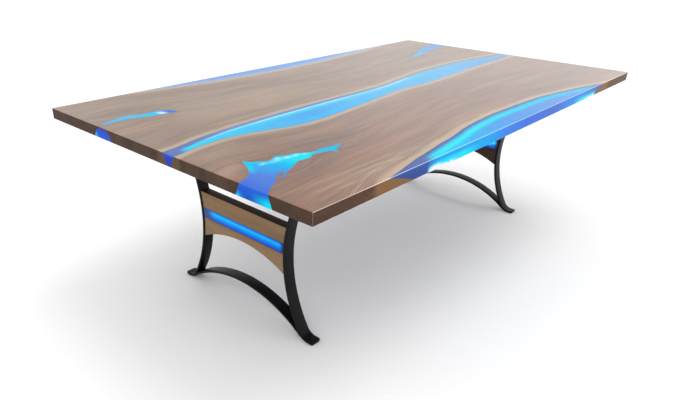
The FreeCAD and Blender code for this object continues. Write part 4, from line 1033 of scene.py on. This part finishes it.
def knot_top_light(x, y):
    d = knot_near(np.column_stack((x, y)))
    c = mixc(lin(71, 118, 216), lin(86, 131, 218), sm(-1200, -1150, x))
    c = mixc(c, lin(33, 178, 240), sm(-1130, -1010, x + 0.55 * (y + 420)))
    c = mixc(c, lin(4, 209, 241), sm(-1060, -985, x + 0.25 * (y + 360)))
    c = mixc(c, lin(4, 230, 240), sm(-1010, -960, x) * (1 - sm(-900, -850, x)))
    c = mixc(c, lin(41, 191, 224), sm(-890, -820, x))
    upper = sm(-420, -330, y)
    c = mixc(c, lin(6, 206, 240), bell(d, 6, 14) * upper * (1 - sm(-1010, -960, x)) * sm(-1150, -1115, x))
    c = mixc(c, lin(65, 142, 201), 0.45 * bell(d, 0, 4.0) * sm(-1030, -990, x))
    for px, py, sx, sy, a in SPOTS:
        c = mixc(c, ICE, a * np.exp(-((x - px) / sx) ** 2 - ((y - py) / sy) ** 2))
    return c


def knot_side(x, y, z):
    t = (TOP - z) / 40.0
    c = mixc(lin(38, 94, 214), lin(32, 90, 198), sm(0.2, 0.8, t))
    right = np.exp(-((y + 516) / 44) ** 2) * sm(0.12, 0.80, t)
    left = np.exp(-((y + 384) / 18) ** 2) * sm(0.45, 1.0, t)
    c = mixc(c, lin(4, 228, 250), np.clip(right + 0.8 * left, 0, 1))
    return mixc(c, lin(24, 66, 176), 0.5 * np.exp(-((y + 436) / 18) ** 2) * sm(0.3, 0.9, t))


def eye_top_light(x, y):
    c = mixc(lin(66, 177, 234), lin(71, 193, 229), sm(-1190, -1120, x))
    c = mixc(c, lin(6, 199, 243), sm(-1050, -985, x))
    c = mixc(c, lin(61, 115, 214), sm(-950, -918, x))
    s = ((x + 948) * 0.8 + (y - 327) * 0.6, -(x + 948) * 0.6 + (y - 327) * 0.8)
    return mixc(c, lin(235, 252, 255), np.exp(-(s[0] / 11) ** 2 - (s[1] / 17) ** 2))


def eye_side(x, y, z):
    t = (TOP - z) / 40.0
    c = mixc(lin(42, 74, 192), lin(48, 90, 212), t)
    return mixc(c, lin(20, 206, 250), np.exp(-((y - 360) / 13) ** 2) * sm(0.40, 0.85, t))


def far_top_light(x, y):
    # paler and greyer toward the far end: partly painted reflection over the glow
    c = mixc(lin(88, 186, 214), lin(108, 168, 208), sm(760, 980, x))
    return mixc(c, lin(119, 153, 197), sm(980, 1190, x))


def far_side(x, y, z):
    t = (TOP - z) / 40.0
    return mixc(lin(48, 88, 222), lin(16, 160, 248), sm(0.4, 1.0, t))


for ob, node, top, side, strip in (
        (river_middle, "river_middle", middle_top, middle_side, STRIP_MID),
        (river_front, "river_front_edge", front_top, front_side, run(-560, 600, -647.5, 120)),
        (river_rear, "river_rear_edge", rear_top, rear_side, run(-450, 530, 647.5, 120)),
        (knot_fill, "knot_fill", knot_top_light, knot_side, STRIP_KNOT),
        (eye_fill, "eye_fill", eye_top_light, eye_side, STRIP_EYE),
        (far_fill, "far_void_fill", far_top_light, far_side, STRIP_FAR)):
    dress_resin(ob, top, side, strip)
    place(ob, node)
RESIN_TOP = resin("blue_resin")
for ob in (river_middle, river_front, river_rear, knot_fill, eye_fill, far_fill):
    ob.data.materials.append(RESIN_TOP)

# ----------------------------------------------------------------- leg frames
R, TH, CY, CZ = 540.0, 10.0, 776.5, 320.0
RT, TOE, TOPZ, FLOOR_Z = 45.0, 383.0, 716.0, 2.0
LEG_X, HALF = 838.0, 25.0
S1 = (CZ - RT - TH - FLOOR_Z) / (R - RT)
A1 = math.asin(S1)
TC = (CY - (R - RT) * math.cos(A1), CZ - (R - RT) * S1)
STEEL = black_steel()


def section(half, lo, hi, r, seg=4):
    """Rounded rectangle: (across, through) pairs round the bar."""
    pts = []
    r = max(r, 0.02)
    for cx, cb, a0 in ((half - r, hi - r, 0), (-half + r, hi - r, 90), (-half + r, lo + r, 180), (half - r, lo + r, 270)):
        for i in range(seg + 1):
            a = math.radians(a0 + 90.0 * i / seg)
            pts.append((cx + r * math.cos(a), cb + r * math.sin(a)))
    return pts


def skin(rings, cap_first=True, cap_last=True):
    """A closed mesh through rings of as many points."""
    bm = bmesh.new()
    vs = [[bm.verts.new(p) for p in ring] for ring in rings]
    n = len(rings[0])
    for a, b in zip(vs[:-1], vs[1:]):
        for i in range(n):
            bm.faces.new((a[i], a[(i + 1) % n], b[(i + 1) % n], b[i]))
    if cap_first:
        bm.faces.new(vs[0][::-1])
    if cap_last:
        bm.faces.new(vs[-1])
    bmesh.ops.remove_doubles(bm, verts=bm.verts[:], dist=1e-3)
    bmesh.ops.recalc_face_normals(bm, faces=bm.faces[:])
    return bm


def upright(name, sx, sy):
    """One side bar: a long bend, a short bend at the foot, a flat toe."""
    r = 1.7
    rings = []

    def ring(half, inset, where):
        return [(sx * LEG_X + a, sy * p[0], p[1])
                for a, b in section(half - inset, inset, TH - inset, r - inset * 0.97)
                for p in (where(b),)]

    for i in range(61):
        t = i / 60

        def main(b, t=t):
            a0 = -math.asin((TOPZ - CZ) / (R + b))
            a = a0 + (A1 - a0) * t
            return CY - (R + b) * math.cos(a), CZ - (R + b) * math.sin(a)
        rings.append(ring(HALF, 0.0, main))
    for i in range(1, 17):
        a = A1 + (math.pi / 2 - A1) * i / 16
        rings.append(ring(HALF, 0.0, lambda b, a=a: (TC[0] - (RT + b) * math.cos(a), TC[1] - (RT + b) * math.sin(a))))
    flat = [TOE - 9.0 + 9.0 * math.sin(math.radians(q)) for q in (0, 15, 30, 45, 56)]
    flat += [TOE - r + r * math.sin(math.radians(q)) for q in (0, 30, 60, 90)]
    for y in flat:
        half = HALF - 9.0 + math.sqrt(max(81.0 - (y - TOE + 9.0) ** 2, 0.0))
        inset = r - math.sqrt(max(r * r - max(0.0, y - TOE + r) ** 2, 0.0))
        rings.append(ring(half, inset, lambda b, y=y: (y, TC[1] - (RT + b))))
    ob = solid(name, skin(rings), 40.0)
    ob.data.materials.append(STEEL)
    return ob


def stretcher(name, sx):
    """The arched bar between the two uprights."""
    az, ar = 118.0 - 542.0, 542.0
    dy, dz = CY, CZ - az
    dist = math.hypot(dy, dz)

    def half_angle(b):
        q = ar + b
        a = (q * q - (R + TH) ** 2 + dist * dist) / (2 * dist)
        h = math.sqrt(max(q * q - a * a, 0.0))
        best = None
        for s in (-1, 1):
            y, z = a * dy / dist - s * h * dz / dist, a * dz / dist + s * h * dy / dist
            if z + az > 0 and (best is None or abs(y) < abs(best[0])):
                best = (y, z)
        return math.atan2(best[0], best[1])

    rings = []
    for i in range(57):
        t = -1 + 2 * i / 56
        rings.append([(sx * LEG_X + a, (ar + b) * math.sin(half_angle(b) * t),
                       az + (ar + b) * math.cos(half_angle(b) * t))
                      for a, b in section(HALF, 0.0, TH, 1.7)])
    ob = solid(name, skin(rings), 40.0)
    ob.data.materials.append(STEEL)
    return ob


for tag, sx in (("near", -1.0), ("far", 1.0)):
    for side, sy in (("left", 1.0), ("right", -1.0)):
        place(upright("leg_bar_%s_%s" % (tag, side), sx, sy), "upright_%s_%s" % (tag, side))
    place(stretcher("arch_bar_" + tag, sx), "stretcher_" + tag)


# -------------------------------------------------------------- leg panels
def inner_y(z):
    return CY - math.sqrt((R + TH) ** 2 - (z - CZ) ** 2)


def panel_piece(name, z_lo, z_hi, sx, arch=False, lit=False, ease=1.6):
    """A board between the uprights, its ends shaped to them."""
    right = [(inner_y(z), z) for z in np.linspace(z_lo, z_hi, 9)]
    top = [(y, z_hi) for y in np.linspace(right[-1][0], -right[-1][0], 41)[1:-1]]
    left = [(-y, z) for y, z in right[::-1]]
    if arch:
        az = 304.0 - 508.0
        zz = lambda y: az + math.sqrt(508.0 ** 2 - y * y)
        end = right[0][0]
        low = [(y, max(z_lo, zz(y))) for y in np.linspace(-end, end, 65)[1:-1]]
    else:
        low = [(y, z_lo) for y in np.linspace(-right[0][0], right[0][0], 41)[1:-1]]
    ring = right + top + left + low
    bm = bmesh.new()
    x0, x1 = sx * LEG_X - 21.0, sx * LEG_X + 21.0
    if lit:
        x0, x1 = x0 + 0.3 * (sx > 0), x1 - 0.3 * (sx < 0)
    a = [bm.verts.new((x0, y, z)) for y, z in ring]
    b = [bm.verts.new((x1, y, z)) for y, z in ring]
    n = len(ring)
    for i in range(n):
        bm.faces.new((a[i], a[(i + 1) % n], b[(i + 1) % n], b[i]))
    fa, fb = bm.faces.new(a[::-1]), bm.faces.new(b)
    bmesh.ops.recalc_face_normals(bm, faces=bm.faces[:])
    rim = [e for e in bm.edges if fa in e.link_faces or fb in e.link_faces]
    bmesh.ops.bevel(bm, geom=rim, offset=ease, segments=3, profile=0.5, affect="EDGES", clamp_overlap=True)
    bmesh.ops.triangulate(bm, faces=[f for f in bm.faces if len(f.verts) > 4])
    return solid(name, bm, 35.0)


PANEL_WOOD = walnut("walnut_panel", lin(146, 119, 86), lin(116, 93, 65), lin(138, 106, 74), lin(168, 144, 108),
                    ring=150.0, ring_amount=0.28, fibre=0.50, hairs=0.42, rough=0.46, gloss=0.15)
# painted shade: darker walnut for the panel faces turned toward the middle of the table, in the shade under its top
PANEL_INNER_SHADE = walnut("walnut_panel_inner_shade", lin(66, 50, 38), lin(48, 36, 28), lin(66, 47, 35), lin(84, 66, 50),
                    ring=150.0, ring_amount=0.25, rough=0.5, gloss=0.12)
# painted shade: darker walnut for the upper faces of the rail and apron, in the shade of the tabletop
PANEL_TOP_SHADE = walnut("walnut_panel_top_shade", lin(62, 46, 37), lin(44, 33, 27), lin(66, 46, 36), lin(80, 62, 48),
                   ring=150.0, ring_amount=0.20, rough=0.5, gloss=0.12)


def panel_resin_mat():
    """The lit bar of a leg panel: bright along its middle, deep at its rims."""
    k = Mat("blue_resin_panel")
    p = k.here()
    x, y, z = k.xyz(p)
    haze = k.noise(p, 22.0, 3.0, 0.55)
    fall = k.m("SUBTRACT", 0.3675, z)
    fall = k.m("MAXIMUM", fall, k.m("MULTIPLY", fall, -2.4))
    fall = k.m("ADD", fall, k.m("MULTIPLY", k.m("SUBTRACT", haze, 0.5), 0.006))
    fall = k.m("ADD", fall, k.m("MULTIPLY", k.m("SUBTRACT", 0.15, y), 0.012))
    core = k.ramp(k.m("MULTIPLY", fall, 26.0),
                  [(0.0, lin(22, 200, 246)), (0.16, lin(16, 176, 244)), (0.36, lin(22, 138, 238)),
                   (0.56, lin(26, 106, 224)), (0.74, lin(30, 86, 194)), (1.0, lin(34, 64, 140))])
    back = k.span(k.m("ABSOLUTE", x), 0.829, 0.820)
    core = k.mix(k.m("MULTIPLY", back, k.span(z, 0.352, 0.366)), core, lin(48, 226, 252))
    lit = k.m("MULTIPLY", k.span(y, 0.208, 0.150), k.span(y, -0.226, -0.202))
    dull = k.mix(k.span(y, -0.1, 0.1), lin(30, 50, 96), lin(60, 80, 134))
    col = k.mix(lit, dull, core)
    k.set(Base_Color=k.mix(haze, lin(4, 12, 44), lin(6, 18, 56)), Emission_Color=col)
    k.bsdf.inputs["Emission Strength"].default_value = 1.0
    k.bsdf.inputs["Specular IOR Level"].default_value = 0.04
    k.set(Roughness=k.m("ADD", k.m("MULTIPLY", haze, 0.06), 0.12))
    k.bump(k.noise(p, 40.0, 2.0, 0.5), 0.02, 0.001)
    return k.mat


PANEL_RESIN = panel_resin_mat()
for tag, sx in (("near", -1.0), ("far", 1.0)):
    rail = panel_piece("rail_" + tag, 379.0, 447.0, sx)
    bar = panel_piece("resin_bar_" + tag, 336.0, 379.0, sx, lit=True)
    apron = panel_piece("apron_" + tag, 250.0, 336.0, sx, True)
    for ob, node, slot in ((rail, "panel_rail_", "walnut_leg"), (bar, "panel_resin_", "blue_resin"),
                           (apron, "panel_apron_", "walnut_leg")):
        place(ob, node + tag)
    bar.data.materials.append(PANEL_RESIN)
    for ob, seed in ((rail, 0.31), (apron, 0.83)):
        co = coords(ob)
        x, y, z = co.T
        across = 0.10 + 0.001 * (z - 300.0) + 0.012 * np.exp(-((y - 120 * sx) / 90) ** 2 - ((z - 300) / 40) ** 2)
        put_vector(ob, "grain", np.column_stack((y * 0.001 + seed * 3, across + seed, (x - sx * LEG_X) * 0.001)))
        put_float(ob, "edge", np.full(len(co), 0.5))
        put_float(ob, "void", np.full(len(co), 0.5))
        pale = 0.14 if ob is apron else 0.0
        put_colour(ob, "tint", np.column_stack((np.zeros((len(co), 2)), np.full(len(co), pale))))
        ob.data.materials.append(PANEL_WOOD)
        ob.data.materials.append(PANEL_TOP_SHADE)
        ob.data.materials.append(PANEL_INNER_SHADE)
        # upper faces take the painted shade of the tabletop, faces toward the middle the painted shade under the
        # table, the rest plain walnut
        way = [1 if p.normal.z > 0.7 else 2 if p.normal.x * sx < -0.5 else 0 for p in ob.data.polygons]
        ob.data.polygons.foreach_set("material_index", np.array(way, np.int32))

# --------------------------------------------------- carried-over small parts
ZINC = metal("zinc_steel", (0.62, 0.63, 0.64), 0.38)
BRASS = metal("brass", (0.72, 0.52, 0.22), 0.34)
CASE = plastic("black_plastic", (0.020, 0.020, 0.021))
ROCKER = plastic("rocker", (0.010, 0.010, 0.010), 0.28)
JACKET = plastic("lead_jacket", (0.030, 0.030, 0.032), 0.5)
LIT = lit_strip("light_strip", lin(60, 205, 255), lin(150, 235, 255), 1.3)
LIT_PANEL = lit_strip("light_strip_panel", lin(4, 160, 250), lin(10, 190, 252), 1.0)
FINISH = {"foot_pads": felt(), "panel_studs": STEEL, "plate_bolts": ZINC, "plate_washers": ZINC,
          "threaded_inserts": BRASS, "driver_case": CASE, "driver_lid": CASE, "driver_board": board_green(),
          "power_inlet": CASE, "rocker_bezel": CASE, "rocker_switch": ROCKER, "driver_lid_screws": ZINC,
          "driver_case_screws": ZINC, "strip_leads": JACKET, "lead_clips": CASE, "panel_leads": JACKET,
          "mounting_plate_near": STEEL, "mounting_plate_far": STEEL}
for n, ob in NODES.items():
    if ob.hide_render:
        continue
    lamp = LIT if n.startswith("light_strip") else LIT_PANEL if n.startswith("panel_light") else STEEL
    mat = FINISH.get(n, lamp)
    ob.data.materials.clear()
    ob.data.materials.append(mat)

# ---------------------------------------------------------- floor, light, view
bm = bmesh.new()
bmesh.ops.create_grid(bm, x_segments=24, y_segments=24, size=40000.0)
floor = solid("floor", bm)
k = Mat("floor_white")
k.set(Base_Color=k.mix(k.noise(k.here(), 3.0, 3.0, 0.5), (0.93, 0.93, 0.93), (0.95, 0.95, 0.95)))
k.bsdf.inputs["Roughness"].default_value = 0.9
k.bsdf.inputs["Specular IOR Level"].default_value = 0.1
floor.data.materials.append(k.mat)

world = bpy.data.worlds.new("studio")
scene.world = world
world.use_nodes = True
bg = next(n for n in world.node_tree.nodes if n.type == "BACKGROUND")
bg.inputs["Color"].default_value = (1.0, 1.0, 1.0, 1.0)
# a pale room, dimmer low down on one side
SKY_LOW, SKY_HIGH = 1.30, 1.10
tree = world.node_tree


def room(kind, props, *ins):
    n = tree.nodes.new(kind)
    for a, v in props.items():
        setattr(n, a, v)
    for i, v in enumerate(ins):
        if hasattr(v, "is_linked"):
            tree.links.new(v, n.inputs[i])
        else:
            n.inputs[i].default_value = v
    return n.outputs


way = room("ShaderNodeSeparateXYZ", {}, room("ShaderNodeTexCoord", {})["Generated"])
smooth = {"interpolation_type": "SMOOTHSTEP"}


def dimmer(axis, a, b, drop):
    """How much darker the room is toward one side."""
    toward = room("ShaderNodeVectorMath", {"operation": "DOT_PRODUCT"},
                  room("ShaderNodeTexCoord", {})["Generated"], axis)["Value"]
    return room("ShaderNodeMapRange", smooth, toward, a, b, 0.0, drop)[0]


side_light = room("ShaderNodeMath", {"operation": "SUBTRACT"}, SKY_LOW, dimmer((0.743, 0.669, 0.0), 0.79, 0.955, 0.28))[0]
side_light = room("ShaderNodeMath", {"operation": "SUBTRACT"}, side_light, dimmer((0.37, 0.93, 0.0), 0.80, 0.97, 0.24))[0]
lift = room("ShaderNodeMapRange", smooth, way[2], 0.25, 0.65, 0.0, 1.0)[0]
gap = room("ShaderNodeMath", {"operation": "SUBTRACT"}, SKY_HIGH, side_light)[0]
both = room("ShaderNodeMath", {"operation": "MULTIPLY_ADD"}, gap, lift, side_light)[0]
both = room("ShaderNodeMath", {"operation": "SUBTRACT"}, both, dimmer((0.655, 0.610, 0.447), 0.974, 0.998, 0.26))[0]
tree.links.new(both, bg.inputs["Strength"])

sun = bpy.data.lights.new("overhead", "SUN")
sun.energy = 0.54
sun.angle = math.radians(32.0)
key = bpy.data.objects.new("overhead", sun)
scene.collection.objects.link(key)
key.rotation_euler = (math.radians(9.0), math.radians(20.0), 0.0)

YAW, PITCH, ROLL, FOCAL = 0.74750149, 0.51448719, -0.01703617, 580.5430
fwd = Vector((math.cos(YAW) * math.cos(PITCH), math.sin(YAW) * math.cos(PITCH), -math.sin(PITCH)))
rgt = fwd.cross(Vector((0, 0, 1))).normalized()
dwn = fwd.cross(rgt)
ax = math.cos(ROLL) * rgt + math.sin(ROLL) * dwn
ay = math.sin(ROLL) * rgt - math.cos(ROLL) * dwn
cam_data = bpy.data.cameras.new("camera")
cam = bpy.data.objects.new("camera", cam_data)
scene.collection.objects.link(cam)
m = Matrix((ax, ay, -fwd)).transposed().to_4x4()
m.translation = Vector((-2.189868, -1.518507, 1.360955))
cam.matrix_world = m
cam_data.sensor_fit = "HORIZONTAL"
cam_data.sensor_width = 36.0
cam_data.lens = FOCAL / 700.0 * 36.0
cam_data.shift_x = (350.0 - 295.0) / 700.0
cam_data.shift_y = (260.0 - 200.0) / 700.0
cam_data.clip_start, cam_data.clip_end = 0.05, 200.0
scene.camera = cam

scene.view_settings.view_transform = "Standard"
scene.view_settings.look = "None"
scene.view_settings.exposure = 0.0
scene.view_settings.gamma = 1.0
